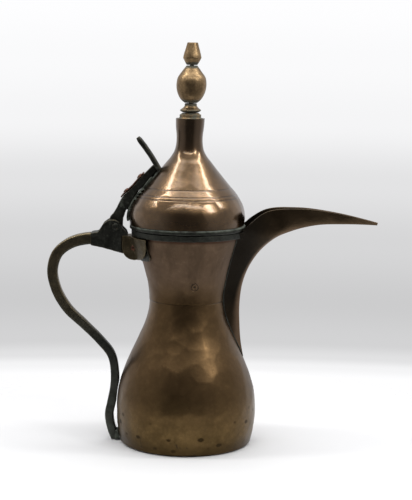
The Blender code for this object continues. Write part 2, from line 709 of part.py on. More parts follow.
def make_lid():
    """Raised dome with its tall hollow neck, the band under it and the bezel in the mouth."""
    outer = dome_outline()
    inner = [(radius - LID_WALL, height) for radius, height in outer]
    finished(leaned(shell("lid_dome", outer, inner)), "lid_copper")
    band = LID_RADIUS
    bezel_edge = BEZEL_RADIUS + GAP
    outline = [(band, RIM_BAND_TOP), (band, RIM_BAND_BOTTOM), (bezel_edge, RIM_BAND_BOTTOM),
               (bezel_edge, RIM_BAND_TOP)]
    finished(turned("lid_rim_band", outline), "rim_verdigris")
    low = RIM_BAND_BOTTOM - BEZEL_DEPTH
    inside = BEZEL_RADIUS - BEZEL_WALL
    outline = [(BEZEL_RADIUS, RIM_BAND_TOP), (BEZEL_RADIUS, low), (inside, low), (inside, RIM_BAND_TOP)]
    finished(turned("lid_bezel", outline), "tinned_inside")


def make_cap():
    """Cap plate, whose lower part plugs the lid's neck.  Returns the height of the plug's foot."""
    foot = DOME_TOP - PLUG_DEPTH
    bore = SPINDLE_RADIUS + GAP
    line = dome_outline()
    plug = float(np.interp(foot, line[::-1, 1], line[::-1, 0])) - LID_WALL - GAP
    outline = [(CAP_RADIUS, CAP_TOP), (CAP_RADIUS, CAP_BOTTOM + 0.0003), (plug, CAP_BOTTOM - 0.0004),
               (plug, foot), (bore, foot), (bore, CAP_TOP)]
    finished(leaned(turned("neck_cap", outline)), "finial_brass")
    return foot


def make_finial():
    """Cap, collar, ball and tip, threaded on a spindle that is peened under the cap."""
    foot = make_cap()
    bore = SPINDLE_RADIUS + GAP
    z = COLLAR_BOTTOM
    outline = [(COLLAR_STEM, z + COLLAR_HEIGHT), (COLLAR_STEM, z + 0.0048), (COLLAR_RADIUS, z + 0.0020),
               (COLLAR_RADIUS, z + 0.0014), (0.0050, z), (bore, z), (bore, z + COLLAR_HEIGHT)]
    finished(leaned(turned("finial_collar", outline, FINIAL_SEGMENTS)), "finial_brass")
    shape = [(FINIAL_NECK_RADIUS, 1.0), (0.62 * BALL_RADIUS, 0.86), (0.93 * BALL_RADIUS, 0.67),
             (BALL_RADIUS, 0.47), (0.90 * BALL_RADIUS, 0.25), (0.68 * BALL_RADIUS, 0.09),
             (0.42 * BALL_RADIUS, 0.0)]
    line = curve_through([(r, BALL_BOTTOM + share * BALL_HEIGHT) for r, share in shape], 13)
    outline = [*line, (bore, BALL_BOTTOM), (bore, BALL_BOTTOM + BALL_HEIGHT)]
    finished(leaned(turned("finial_ball", outline, FINIAL_SEGMENTS)), "finial_brass")
    depth = TIP_BOTTOM + SPINDLE_REACH
    waist = TIP_BOTTOM + TIP_WAIST
    outline = [(0.0, TIP_TOP), (0.50 * TIP_RADIUS, TIP_TOP), (0.58 * TIP_RADIUS, TIP_TOP - 0.0004),
               (0.93 * TIP_RADIUS, waist + 0.0023), (TIP_RADIUS, waist), (FINIAL_NECK_RADIUS, TIP_BOTTOM),
               (bore, TIP_BOTTOM), (bore, depth), (0.0, depth)]
    finished(leaned(turned("finial_tip", outline, FINIAL_SEGMENTS, closed=False)), "finial_brass")
    top = depth - GAP
    nut = foot - GAP
    end = nut - NUT_HEIGHT
    outline = [(0.0, top), (SPINDLE_RADIUS, top), (SPINDLE_RADIUS, nut), (NUT_RADIUS, nut), (NUT_RADIUS, end),
               (0.0, end)]
    finished(leaned(turned("finial_spindle", outline, FINIAL_SEGMENTS, closed=False)), "finial_brass")


def dome_point(share):
    """(x, z) on the handle side of the lid at a share of the dome's height."""
    line = np.array(dome_outline(60))
    height = DOME_BOTTOM + share * DOME_HEIGHT
    radius = float(np.interp(height, line[::-1, 1], line[::-1, 0]))
    return LID_LEAN * (height - DOME_BOTTOM - LEAN_FROM) - radius, height


def arm_outer_line(count):
    """Outer edge of the arm as (x, z), from beside the hinge up to the thumb piece."""
    points = [(HINGE_X - 0.0044, HINGE_Z + 0.0070), (HINGE_X - 0.0009, HINGE_Z + 0.0112),
              (HINGE_X + 0.0016, HINGE_Z + 0.0163), (HINGE_X + 0.0046, HINGE_Z + 0.0217)]
    for share, away in ((0.358, 0.0088), (0.437, 0.0090), (0.545, 0.0080)):
        x, z = dome_point(share)
        points.append((x - away, z))
    return curve_through(points, count)


def arm_place(share):
    """Point and outward direction on the arm's outer edge at a share of its length."""
    line = arm_outer_line(101)
    index = round(100 * share)
    along = line[index + 1] - line[index - 1]
    along /= np.linalg.norm(along)
    return line[index], np.array([-along[1], along[0]])


def lid_keepout(name, offset):
    """The lid's dome filled solid and offset outwards."""
    outline = [(0.0, DOME_TOP), *dome_outline(DOME_STEPS, offset)]
    outline += [(LID_RADIUS + offset, RIM_BAND_BOTTOM - 0.02), (0.0, RIM_BAND_BOTTOM - 0.02)]
    return leaned(turned(name, outline, closed=False))


def make_arm():
    """Arm from the hinge's eye along the lid, the plate under it and the copper strip over it."""
    under = 2 * GAP + ARM_PLATE_WALL
    outer = arm_outer_line(14)
    eye = arc((HINGE_X, HINGE_Z), EYE_RADIUS, 180, 370, 14)
    inner = [(HINGE_X + 0.0052, HINGE_Z + 0.0060), (HINGE_X + 0.0075, HINGE_Z + 0.0125)]
    # The hidden side of the outline lies inside the lid, and its end inside the thumb piece
    inside = [(-0.55 * LID_RADIUS, HINGE_Z + 0.0140), *thumb_line()[:4]]
    outline = [*outer[::-1], *eye, *inner, *inside]
    arm = plate("lid_arm", outline, ARM_WIDTH)
    cut(arm, lid_keepout("arm_cope", under), thumb_solid("arm_end", GAP))
    cut(arm, rod("eye_bore", PIN_RADIUS + GAP, 0.04, (HINGE_X, 0.0, HINGE_Z), "Y"))
    for share in ARM_RIVETS:
        cut(arm, arm_rivet_hole(share))
    finished(arm, "dark_bronze")
    strip_line = arm_outer_line(101)[34:90:5]
    outline = [*side_offset(strip_line, GAP + ARM_STRIP_WALL), *side_offset(strip_line, GAP)[::-1]]
    strip = plate("arm_strip", outline, ARM_WIDTH)
    for share in ARM_RIVETS:
        cut(strip, arm_rivet_hole(share))
    finished(strip, "red_copper")


def make_arm_plate():
    """Scalloped plate soldered between the arm and the lid."""
    low = dome_point(0.17)[1]
    high = dome_point(0.435)[1]
    half = ARM_PLATE_HALF
    side = [(half, high), (half, low + 0.70 * (high - low))]
    for i in range(4):
        z = low + (0.66 - 0.11 * i) * (high - low)
        side += [(half + 0.0045, z), (half + 0.0018, z - 0.055 * (high - low))]
    side += [(half, low + 0.16 * (high - low)), (0.7 * half, low)]
    outline = side + [(-y, z) for y, z in side[::-1]]
    outer = dome_outline(DOME_STEPS, GAP + ARM_PLATE_WALL)
    piece = leaned(shell("arm_plate", outer, dome_outline(DOME_STEPS, GAP)))
    combine(piece, plate("arm_plate_outline", outline, 2 * LID_RADIUS, "X", -1.1 * LID_RADIUS), "INTERSECT")
    finished(piece, "rim_verdigris")


def arm_rivet_hole(share):
    """Cutter of a rivet's hole in the strip and the arm."""
    point, out = arm_place(share)
    depth = 2 * (ARM_RIVET_LENGTH + GAP)
    return rod("arm_rivet_hole", RIVET_RADIUS + GAP, depth, (point[0], 0.0, point[1]), tuple(out))


def make_arm_rivet(name, share):
    """Copper rivet with a round head, through the strip into the arm."""
    point, out = arm_place(share)
    seat = 2 * GAP + ARM_STRIP_WALL
    head = [(0.0, seat + 0.0016), (0.0009, seat + 0.0014), (0.0017, seat + 0.0007), (0.0019, seat),
            (RIVET_RADIUS, seat)]
    rivet = turned(name, [*head, (RIVET_RADIUS, -ARM_RIVET_LENGTH), (0.0, -ARM_RIVET_LENGTH)],
                   16, closed=False)
    rivet.rotation_euler = direction_turn(tuple(out))
    rivet.location = (point[0], 0.0, point[1])
    finished(rivet, "red_copper")


def thumb_line():
    """Centre line of the thumb piece as (x, z), from inside the lid to its tip."""
    foot_x, foot_z = dome_point(0.535)
    return curve_through([(foot_x + 0.0010, foot_z - 0.0070), (foot_x - 0.0029, foot_z),
                          (foot_x - 0.0082, foot_z + 0.0087), (foot_x - 0.0180, foot_z + THUMB_RISE)], 10)


def thumb_solid(name, grow=0.0):
    """Thumb piece: a bar that rises from the lid over the end of the arm, slightly bowed."""
    line = thumb_line()
    half = THUMB_THICKNESS / 2 + grow
    outline = [*side_offset(line, half), *side_offset(line, -half)[::-1]]
    return plate(name, outline, THUMB_WIDTH + 2 * grow)


def make_thumb():
    """Thumb piece, coped to the lid."""
    finished(cut(thumb_solid("thumb_piece"), lid_keepout("thumb_cope", GAP)), "dark_bronze")


# ---- the whole pot ------------------------------------------------------------------------------

def hang_lid(names):
    """Parent the lid's pieces to an empty on the pin's axis, which opens the lid when it is turned."""
    hinge = bpy.data.objects.new("lid_hinge", None)
    hinge.location = (HINGE_X, 0.0, HINGE_Z)
    DALLAH.objects.link(hinge)
    bpy.context.view_layer.update()
    for name in names:
        piece = bpy.data.objects[name]
        piece.parent = hinge
        piece.matrix_parent_inverse = hinge.matrix_world.inverted()


clear_scene()
DALLAH = collection("dallah")
CUTTERS = collection("cutters")

make_belly()
make_neck()
make_mouth_ring()
make_spout()
make_saddle()
make_bracket()
cross_rivet("bracket_rivet", RIVET_RADIUS, RIVET_HEAD_RADIUS, RIVET_HEAD_HEIGHT, HEAD_WIDTH,
            rivet_place(), "red_copper")
make_head()
make_handle()
make_foot_solder()
cross_rivet("hinge_pin", PIN_RADIUS, PIN_HEAD_RADIUS, PIN_HEAD_HEIGHT, HEAD_WIDTH,
            (HINGE_X, 0.0, HINGE_Z), "dark_bronze")
make_lid()
make_finial()
make_arm_plate()
make_arm()
make_thumb()
arm_rivets = [f"arm_rivet_{number}" for number in range(1, len(ARM_RIVETS) + 1)]
for name, share in zip(arm_rivets, ARM_RIVETS):
    make_arm_rivet(name, share)
hang_lid(["lid_dome", "lid_rim_band", "lid_bezel", "neck_cap", "finial_collar", "finial_ball", "finial_tip",
          "finial_spindle", "arm_plate", "lid_arm", "arm_strip", "thumb_piece", *arm_rivets])
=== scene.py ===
"""Looks of a dallah, the Arabic coffee pot: hammered copper and brass with an old patina.

Every piece of the pot is made again here as a fine surface, in the place that the frame gives, and
gets its own aged finish.  Lengths are metres and +Z is up.
"""
import json
import math

import bmesh
import bpy
import numpy as np
from bpy.props import FloatProperty, FloatVectorProperty, PointerProperty
from mathutils import Euler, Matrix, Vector


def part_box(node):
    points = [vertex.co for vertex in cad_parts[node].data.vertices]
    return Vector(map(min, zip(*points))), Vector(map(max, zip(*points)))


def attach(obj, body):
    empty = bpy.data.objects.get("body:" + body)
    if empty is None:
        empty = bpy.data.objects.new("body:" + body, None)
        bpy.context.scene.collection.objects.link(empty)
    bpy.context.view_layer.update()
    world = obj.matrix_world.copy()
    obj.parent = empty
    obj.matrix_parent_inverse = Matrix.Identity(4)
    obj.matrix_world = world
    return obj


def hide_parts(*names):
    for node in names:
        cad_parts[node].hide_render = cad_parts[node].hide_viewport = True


bl_info = {
    "name": "Dallah",
    "version": (1, 0, 0),
    "blender": (4, 5, 0),
    "location": "View3D > Sidebar > Dallah",
    "description": "Builds the fine surfaces and aged metal finishes of a dallah coffee pot",
    "category": "Object",
}

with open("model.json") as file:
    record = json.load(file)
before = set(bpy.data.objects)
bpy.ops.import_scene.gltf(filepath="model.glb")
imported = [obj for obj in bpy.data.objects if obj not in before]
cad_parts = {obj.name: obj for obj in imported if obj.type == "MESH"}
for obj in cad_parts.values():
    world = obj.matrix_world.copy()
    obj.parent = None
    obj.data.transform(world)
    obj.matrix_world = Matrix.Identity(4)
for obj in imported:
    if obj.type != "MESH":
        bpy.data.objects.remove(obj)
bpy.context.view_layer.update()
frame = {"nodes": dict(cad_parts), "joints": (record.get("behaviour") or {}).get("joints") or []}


# ---- places that the frame gives ----------------------------------------------------------------

def low(node):
    """Lowest corner of a node of the frame."""
    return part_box(node)[0]


def high(node):
    """Highest corner of a node of the frame."""
    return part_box(node)[1]


BELLY_RADIUS = high("belly_shell").x
WAIST_HEIGHT = (high("belly_shell").z + low("neck_shell").z) / 2
NECK_RADIUS = high("neck_shell").x
NECK_TOP = high("neck_shell").z
RING_RADIUS = high("mouth_ring").x
RING_LOW, RING_TOP = low("mouth_ring").z, high("mouth_ring").z
LID_RADIUS = high("lid_rim_band").x
BAND_LOW, BAND_TOP = low("lid_rim_band").z, high("lid_rim_band").z
DOME_LOW, DOME_TOP = low("lid_dome").z, high("lid_dome").z
BEZEL_RADIUS = high("lid_bezel").x
HINGE_X, _, HINGE_Z = frame["joints"][0]["pos_m"]
HEAD_BACK = low("handle_head").x
HEAD_HALF = high("handle_head").y
BAR_HALF = high("handle_bar").y
FLOOR_GAP = low("handle_bar").z
FIT = 0.0003                                   # gap that the frame leaves between pieces
BRACKET_X = -(NECK_RADIUS - FIT)
BRACKET_RADIUS = BRACKET_X - low("hinge_bracket").x
BRACKET_Z = low("hinge_bracket").z + BRACKET_RADIUS


# ---- sizes and colours that can be set -----------------------------------------------------------

def length(name, description, default):
    """A size in metres."""
    return FloatProperty(name=name, description=description, default=default, unit="LENGTH", precision=5)


def colour(name, description, default):
    """A colour, linear."""
    return FloatVectorProperty(name=name, description=description, default=default, subtype="COLOR",
                               min=0.0, max=1.0)


class DallahSizes(bpy.types.PropertyGroup):
    """Sizes that the frame's boxes don't give."""
    base_radius: length("Base radius", "Radius of the belly at the floor", 0.0488)
    belly_height: length("Belly height", "Height of the belly's widest place", 0.0270)
    waist_radius: length("Waist radius", "Radius of the waist", 0.0281)
    wall: length("Wall", "Sheet of the belly, the neck and the lid", 0.0012)
    base_corner: length("Base corner", "Radius of the turned-in lower edge", 0.0025)
    lid_neck_radius: length("Lid neck radius", "Radius of the lid's tall neck", 0.0096)
    blow_size: length("Blow size", "Distance between the hammer's blows", 0.0105)
    blow_depth: length("Blow depth", "Depth of the hammer's blows", 0.00034)
    swell_depth: length("Swell depth", "Depth of the broad unevenness of the sheet", 0.00060)
    groove_depth: length("Groove depth", "Depth of the rings engraved in the lid", 0.00022)


class DallahColours(bpy.types.PropertyGroup):
    """Colours of the metals and of what has grown on them."""
    belly: colour("Belly brass", "Brown patina of the belly", (0.128, 0.078, 0.036))
    gold: colour("Worn brass", "Olive-golden brass near the base", (0.130, 0.083, 0.034))
    neck: colour("Neck copper", "Grey-brown patina of the neck", (0.150, 0.100, 0.064))
    lid: colour("Lid copper", "Warm brown of the lid", (0.160, 0.096, 0.045))
    spout: colour("Spout brown", "Dark brown of the spout", (0.045, 0.031, 0.018))
    bronze: colour("Cast bronze", "Near-black green bronze", (0.050, 0.051, 0.043))
    olive: colour("Rubbed bronze", "Olive-brown where hands have rubbed the bronze", (0.165, 0.130, 0.075))
    verdigris: colour("Verdigris", "Grey-green crust in the joints", (0.120, 0.138, 0.108))
    finial: colour("Finial brass", "Golden brown brass of the finial", (0.285, 0.192, 0.100))
    red: colour("Red copper", "Dull red copper of the rivets and the strip", (0.14, 0.065, 0.042))
    soot: colour("Soot", "Near-black stain", (0.022, 0.019, 0.015))
    tin: colour("Tin", "Grey tinned inside", (0.20, 0.19, 0.17))


def sizes():
    """The sizes that are set on the scene."""
    return bpy.context.scene.dallah_sizes


def tint(name):
    """One of the colours that are set on the scene."""
    return tuple(getattr(bpy.context.scene.dallah_colours, name))


# ---- numbers on whole arrays ---------------------------------------------------------------------

def smooth(x, start, end):
    """0 before start, 1 after end and 3t^2 - 2t^3 between them."""
    t = np.clip((np.asarray(x, float) - start) / (end - start), 0.0, 1.0)
    return t * t * (3.0 - 2.0 * t)


def curve_through(points, count):
    """Evenly spaced points on a smooth curve through the given ones.

    Each stretch is a cubic in the distance along the chords, and its slope at a given point is the
    mean of the two chords' slopes there.
    """
    given = np.array(points, dtype=float)
    steps = np.linalg.norm(np.diff(given, axis=0), axis=1)
    run = np.concatenate([[0.0], np.cumsum(steps)])
    chords = np.diff(given, axis=0) / steps[:, None]
    slopes = np.empty_like(given)
    before, after = steps[:-1, None], steps[1:, None]
    slopes[1:-1] = (chords[:-1] * after + chords[1:] * before) / (before + after)
    slopes[0] = 1.5 * chords[0] - 0.5 * slopes[1]
    slopes[-1] = 1.5 * chords[-1] - 0.5 * slopes[-2]
    at = np.linspace(0.0, run[-1], count)
    index = np.clip(np.searchsorted(run, at, side="right") - 1, 0, len(steps) - 1)
    span = steps[index, None]
    t = (at - run[index])[:, None] / span
    return ((2 * t**3 - 3 * t**2 + 1) * given[index] + (t**3 - 2 * t**2 + t) * span * slopes[index]
            + (3 * t**2 - 2 * t**3) * given[index + 1] + (t**3 - t**2) * span * slopes[index + 1])


def evenly(line, spacing):
    """The same polyline with its points about a spacing apart, and its own points kept."""
    line = np.asarray(line, float)
    counts = np.maximum(np.ceil(np.linalg.norm(np.diff(line, axis=0), axis=1) / spacing).astype(int), 1)
    index = np.repeat(np.arange(len(counts)), counts)
    share = np.concatenate([np.arange(count) / count for count in counts])
    points = line[index] + share[:, None] * (line[index + 1] - line[index])
    return np.vstack([points, line[-1:]])


def rounded(corners, radius, steps=5, closed=False):
    """A polyline whose corners are cut by a curve that leaves each side a radius from the corner.

    The curve is quadratic: (1-t)^2 A + 2t(1-t) corner + t^2 B.  The radius is less on a short side.
    """
    corners = np.asarray(corners, float)
    before = np.roll(corners, 1, axis=0) - corners
    after = np.roll(corners, -1, axis=0) - corners
    back = np.linalg.norm(before, axis=1)[:, None]
    ahead = np.linalg.norm(after, axis=1)[:, None]
    reach = np.minimum(radius, 0.45 * np.minimum(back, ahead))
    start, end = corners + before / back * reach, corners + after / ahead * reach
    t = np.linspace(0.0, 1.0, steps)[None, :, None]
    bends = (1 - t)**2 * start[:, None] + 2 * t * (1 - t) * corners[:, None] + t**2 * end[:, None]
    if closed:
        return bends.reshape(-1, corners.shape[1])
    return np.vstack([corners[:1], bends[1:-1].reshape(-1, corners.shape[1]), corners[-1:]])


def arc(centre, radius, start, end, steps):
    """Points of an arc in a plane, with its angles in degrees."""
    angles = np.radians(np.linspace(start, end, steps + 1))
    return np.column_stack([centre[0] + radius * np.cos(angles), centre[1] + radius * np.sin(angles)])


def directions(line):
    """Unit directions along a line at each of its points."""
    along = np.gradient(np.asarray(line, float), axis=0)
    return along / np.maximum(np.linalg.norm(along, axis=1), 1e-12)[:, None]


def sideways(line, distance):
    """A plane line moved to its left by a distance, square to it at each point."""
    along = directions(line)
    return line + distance * np.column_stack([-along[:, 1], along[:, 0]])


CELLS = 24                                     # cells each way before a pattern repeats


def cell_values(cells, seed, width):
    """Fixed random numbers of each cell of a lattice that repeats."""
    table = np.random.default_rng(seed).random((CELLS, CELLS, CELLS, width))
    x, y, z = np.moveaxis(cells % CELLS, -1, 0)
    return table[x, y, z]


def swells(points, size, seed):
    """Smooth unevenness from -1 to 1: values at a lattice's corners, blended by 3t^2 - 2t^3."""
    place = np.asarray(points, float) / size
    cells = np.floor(place).astype(int)
    t = place - cells
    t = t * t * (3.0 - 2.0 * t)
    total = np.zeros(place.shape[:-1])
    for corner in np.ndindex(2, 2, 2):
        weight = np.prod(np.where(np.array(corner) == 1, t, 1.0 - t), axis=-1)
        total += weight * cell_values(cells + corner, seed, 1)[..., 0]
    return 2.0 * total - 1.0


def blows(points, size, seed):
    """Height of a hammered surface, 0 at the heart of each blow and about 1 on the ridges between.

    It is the squared distance to the nearest centre, with one centre at random in each cell.
    """
    place = np.asarray(points, float) / size
    cells = np.floor(place).astype(int)
    nearest = np.full(place.shape[:-1], 9.0)
    for step in np.ndindex(3, 3, 3):
        cell = cells + step - 1
        away = cell + cell_values(cell, seed, 3) - place
        nearest = np.minimum(nearest, np.sum(away * away, axis=-1))
    return np.minimum(nearest, 1.0)


def hammered(points, normals, depth=1.0, seed=1):
    """Points moved along their normals by the hammer's blows and the sheet's broad unevenness."""
    s = sizes()
    rise = s.blow_depth * (blows(points, s.blow_size, seed) - 0.45)
    rise += s.swell_depth * 0.5 * swells(points, 2.4 * s.blow_size, seed + 1)
    return points + (np.asarray(depth) * rise)[..., None] * normals


# ---- meshes from arrays --------------------------------------------------------------------------

def grid_quads(rows, columns, wrap_rows=False, wrap_columns=True):
    """Corner numbers of the quads between the points of a grid."""
    i = np.arange(rows if wrap_rows else rows - 1)[:, None]
    j = np.arange(columns if wrap_columns else columns - 1)[None, :]
    below, beside = (i + 1) % rows, (j + 1) % columns
    corners = [i * columns + j, below * columns + j, below * columns + beside, i * columns + beside]
    return np.stack(corners, axis=-1)


def mesh_of(name, points, quads):
    """A smooth mesh of quads, put in as whole arrays."""
    mesh = bpy.data.meshes.new(name)
    points = np.ascontiguousarray(points, dtype=np.float32).reshape(-1, 3)
    quads = np.ascontiguousarray(quads, dtype=np.int32).reshape(-1, 4)
    mesh.vertices.add(len(points))
    mesh.vertices.foreach_set("co", points.ravel())
    mesh.loops.add(quads.size)
    mesh.loops.foreach_set("vertex_index", quads.ravel())
    mesh.polygons.add(len(quads))
    mesh.polygons.foreach_set("loop_start", np.arange(0, quads.size, 4, dtype=np.int32))
    mesh.update(calc_edges=True)
    mesh.validate()
    mesh.shade_smooth()
    return mesh


def joined(mesh, close_ends=True, turn_out=True):
    """The mesh with its doubles merged, its open ends filled and its faces turned outwards."""
    work = bmesh.new()
    work.from_mesh(mesh)
    bmesh.ops.remove_doubles(work, verts=work.verts, dist=0.000002)
    if close_ends:
        ends = [edge for edge in work.edges if edge.is_boundary]
        bmesh.ops.holes_fill(work, edges=ends, sides=0)
    if turn_out:
        bmesh.ops.recalc_face_normals(work, faces=work.faces)
        if work.calc_volume(signed=True) < 0.0:
            bmesh.ops.reverse_faces(work, faces=work.faces)
    work.to_mesh(mesh)
    work.free()
    mesh.shade_smooth()
    return mesh


CREASE = math.radians(50)                      # an edge that bends more than this stays sharp


def place(name, mesh, finish, body, slot, *nodes):
    """Show a mesh as a piece that rides on a body and stands for nodes of the frame.

    An open sheet's borders are marked sharp too, so that they stay crisp when it is given its wall.
    """
    mesh.set_sharp_from_angle(angle=CREASE)
    sides = np.empty(len(mesh.loops), dtype=np.int32)
    mesh.loops.foreach_get("edge_index", sides)
    sharp = mesh.attributes["sharp_edge"].data
    creased = np.empty(len(mesh.edges), dtype=bool)
    sharp.foreach_get("value", creased)
    sharp.foreach_set("value", creased | (np.bincount(sides, minlength=len(creased)) == 1))
    piece = bpy.data.objects.new(name, mesh)
    bpy.context.scene.collection.objects.link(piece)
    mesh.materials.append(finish)
    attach(piece, body)
    if nodes:
        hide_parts(*nodes)
    return piece


def vectors(items, attribute):
    """A vector of each item of a mesh, such as its place or its normal, as an array."""
    values = np.empty(len(items) * 3, np.float32)
    items.foreach_get(attribute, values)
    return values.reshape(-1, 3).astype(float)


def set_coordinates(mesh, points):
    """Move the vertices of a mesh to the places in an array."""
    mesh.vertices.foreach_set("co", np.ascontiguousarray(points, dtype=np.float32).ravel())
    mesh.update()


def turned(profile, segments, leaning=False):
    """Grid of a profile swept round Z, with its outward directions: radius times (cos, sin), height.

    Profile rows are (radius, height) and run down the outside.  A leaning one is stepped sideways
    with its height, as the lid is.
    """
    profile = np.asarray(profile, float)
    along = directions(profile)
    angles = np.linspace(0.0, 2.0 * math.pi, segments, endpoint=False)
    ring = np.stack([np.cos(angles), np.sin(angles)], axis=-1)[None]

    def swept(radius, height):
        flat = radius[:, None, None] * ring
        heights = np.broadcast_to(height[:, None, None], (*flat.shape[:2], 1))
        return np.concatenate([flat, heights], axis=-1)

    points = swept(profile[:, 0], profile[:, 1])
    outward = swept(-along[:, 1], along[:, 0])
    if leaning:
        points[..., 0] += lean(points[..., 2])
    return points, outward


def turned_mesh(name, points, ring_profile):
    """Mesh of a turned grid: a ring whose profile closes, or a solid from axis to axis."""
    rows, columns = points.shape[:2]
    mesh = mesh_of(name, points, grid_quads(rows, columns, wrap_rows=ring_profile))
    return mesh if ring_profile else joined(mesh, close_ends=False)


def dented(points, outward, profile, depth, size, seed, still=0.001):
    """Turned points pushed in by the skin's unevenness, less so the closer they are to the axis."""
    dent = depth * (1.0 + swells(points, size, seed)) * smooth(profile[:, 0], 0.0, still)[:, None]
    return points - dent[..., None] * outward


def carried(line, tangents, section, sizes_along):
    """Grid of a closed section carried along a line in the XZ plane.

    A section point (a, b) goes to line + a * size * Y + b * size * left, where left is square to the
    tangent.  Rows are the line's points and columns are the section's.
    """
    left = np.column_stack([-tangents[:, 1], tangents[:, 0]])
    a, b = section[None, :, 0] * sizes_along[:, :1], section[None, :, 1] * sizes_along[:, 1:]
    x = line[:, :1] + b * left[:, :1]
    z = line[:, 1:] + b * left[:, 1:]
    return np.stack([x, a, z], axis=-1)


def bar_section(corner, steps, spacing, halves=(1.0, 1.0)):
    """Section of a bar: a closed rectangle of given half sizes, with its corners cut by a share of them."""
    corners = [(1.0, -1.0), (1.0, 1.0), (-1.0, 1.0), (-1.0, -1.0)]
    loop = rounded(corners, corner, steps, closed=True) * (halves,)
    return evenly(np.vstack([loop, loop[:1]]), spacing)[:-1]


def away_from(line, points):
    """Unit directions to rings of points from a line in the XZ plane that runs through them."""
    out = points - np.stack([line[:, 0], 0.0 * line[:, 0], line[:, 1]], axis=-1)[:, None]
    return out / np.linalg.norm(out, axis=-1)[..., None]


def lofted_mesh(name, points):
    """Solid through closed rings of points, with its ends filled."""
    return joined(mesh_of(name, points, grid_quads(*points.shape[:2])))


def add_wall(piece, thickness):
    """Give an open sheet its thickness inwards."""
    wall = piece.modifiers.new("Wall", "SOLIDIFY")
    wall.thickness = thickness
    wall.offset = -1.0


def slab_mesh(name, outer, inner):
    """Plate between two grids of points, with a half-round rim.

    The rim is a row of points between the two grids' borders, pushed out from the grids' edges by a
    third of the plate's thickness.
    """
    def bordered(grid):
        return np.concatenate([grid[0], grid[1:-1, -1], grid[-1, ::-1], grid[-2:0:-1, 0]])

    rows, columns = outer.shape[:2]
    rim_out, rim_in = bordered(outer), bordered(inner)
    through = rim_out - rim_in
    middle = (rim_out + rim_in) / 2
    away = middle - middle.mean(axis=0)
    away -= np.sum(away * through, axis=1)[:, None] / np.sum(through**2, axis=1)[:, None] * through
    away /= np.linalg.norm(away, axis=1)[:, None]
    middle = middle + away * np.linalg.norm(through, axis=1)[:, None] / 3
    rims = np.stack([rim_out, middle, rim_in])
    flat = rows * columns
    quads = grid_quads(rows, columns, wrap_columns=False).reshape(-1, 4)
    rim = grid_quads(3, len(middle)).reshape(-1, 4) + 2 * flat
    points = np.concatenate([outer.reshape(-1, 3), inner.reshape(-1, 3), rims.reshape(-1, 3)])
    quads = np.concatenate([quads, quads[:, ::-1] + flat, rim])
    return joined(mesh_of(name, points, quads), close_ends=False)


SHRINK, REGROW = 0.6, -0.52                    # share of the way to the neighbours' middle, and back


def cast(name, node, voxel, passes, grain, seed, grow=0.0):
    """A casting with soft edges and an uneven skin, from the shape of a node of the frame.

    The shape is meshed anew in small even faces.  Each pass moves every point towards the middle of
    its neighbours and then a little less far back, which rounds the edges and keeps the size, and
    smooth noise stands in for the sand's grain.  Growth closes the gap to the neighbouring pieces.
    """
    mesh = frame["nodes"][node].data.copy()
    mesh.materials.clear()
    mesh = joined(mesh, close_ends=False, turn_out=False)
    shape = bpy.data.objects.new(name + "_shape", mesh)
    bpy.context.scene.collection.objects.link(shape)
    fine = shape.modifiers.new("Fine", "REMESH")
    fine.mode = "VOXEL"
    fine.voxel_size = voxel
    fine.use_smooth_shade = True
    graph = bpy.context.evaluated_depsgraph_get()
    made = bpy.data.meshes.new_from_object(shape.evaluated_get(graph))
    bpy.data.objects.remove(shape)
    made.name = name
    points = vectors(made.vertices, "co")
    edges = np.empty(len(made.edges) * 2, np.int32)
    made.edges.foreach_get("vertices", edges)
    a, b = edges.reshape(-1, 2).T
    total = len(points)
    count = np.maximum(np.bincount(a, minlength=total) + np.bincount(b, minlength=total), 1)
    for share in (SHRINK, REGROW) * passes:
        sums = [np.bincount(a, points[b, k], total) + np.bincount(b, points[a, k], total) for k in range(3)]
        middle = np.stack(sums, axis=-1) / count[:, None]
        points = points + share * (middle - points)
    set_coordinates(made, points)
    sand = 0.65 * swells(points, 0.0030, seed) + 0.35 * swells(points, 0.0011, seed + 1)
    skin = grow + grain * (sand - 0.4)
    set_coordinates(made, points + skin[:, None] * vectors(made.vertex_normals, "vector"))
    made.shade_smooth()
    return made


# ---- outlines of the pot -------------------------------------------------------------------------

def body_radius(z):
    """Outer radius of the belly and neck at each height.

    The foot swells as a power curve to the belly, which falls in an S to the waist; the neck flares
    from the waist as a hyperbola.
    """
    s = sizes()
    z = np.asarray(z, float)
    t = np.clip(1.0 - z / s.belly_height, 0.0, 1.0)**2.5
    foot = BELLY_RADIUS - (BELLY_RADIUS - s.base_radius) * t
    t = np.clip((z - s.belly_height) / (WAIST_HEIGHT - s.belly_height), 0.0, 1.0)**1.12
    shoulder = BELLY_RADIUS - (BELLY_RADIUS - s.waist_radius) * t * t * (3.0 - 2.0 * t)
    bend = 0.35
    t = np.clip((z - WAIST_HEIGHT) / (NECK_TOP - WAIST_HEIGHT), 0.0, 1.0)
    flare = (np.hypot(1.0, t / bend) - 1.0) / (math.hypot(1.0, 1.0 / bend) - 1.0)
    neck = s.waist_radius + (NECK_RADIUS - s.waist_radius) * flare
    return np.where(z < s.belly_height, foot, np.where(z < WAIST_HEIGHT, shoulder, neck))


TOUCH = 0.0002                                 # left between a piece and the sheet that it lies on
SWING = 0.0014                                 # left round the lid, so that it can open


def keepout(z):
    """Radius that a piece on the outside of the pot stays clear of, at each height."""
    upper = np.where(z < RING_TOP, RING_RADIUS + TOUCH, LID_RADIUS + SWING)
    return np.where(z < NECK_TOP, body_radius(z) + TOUCH, upper)


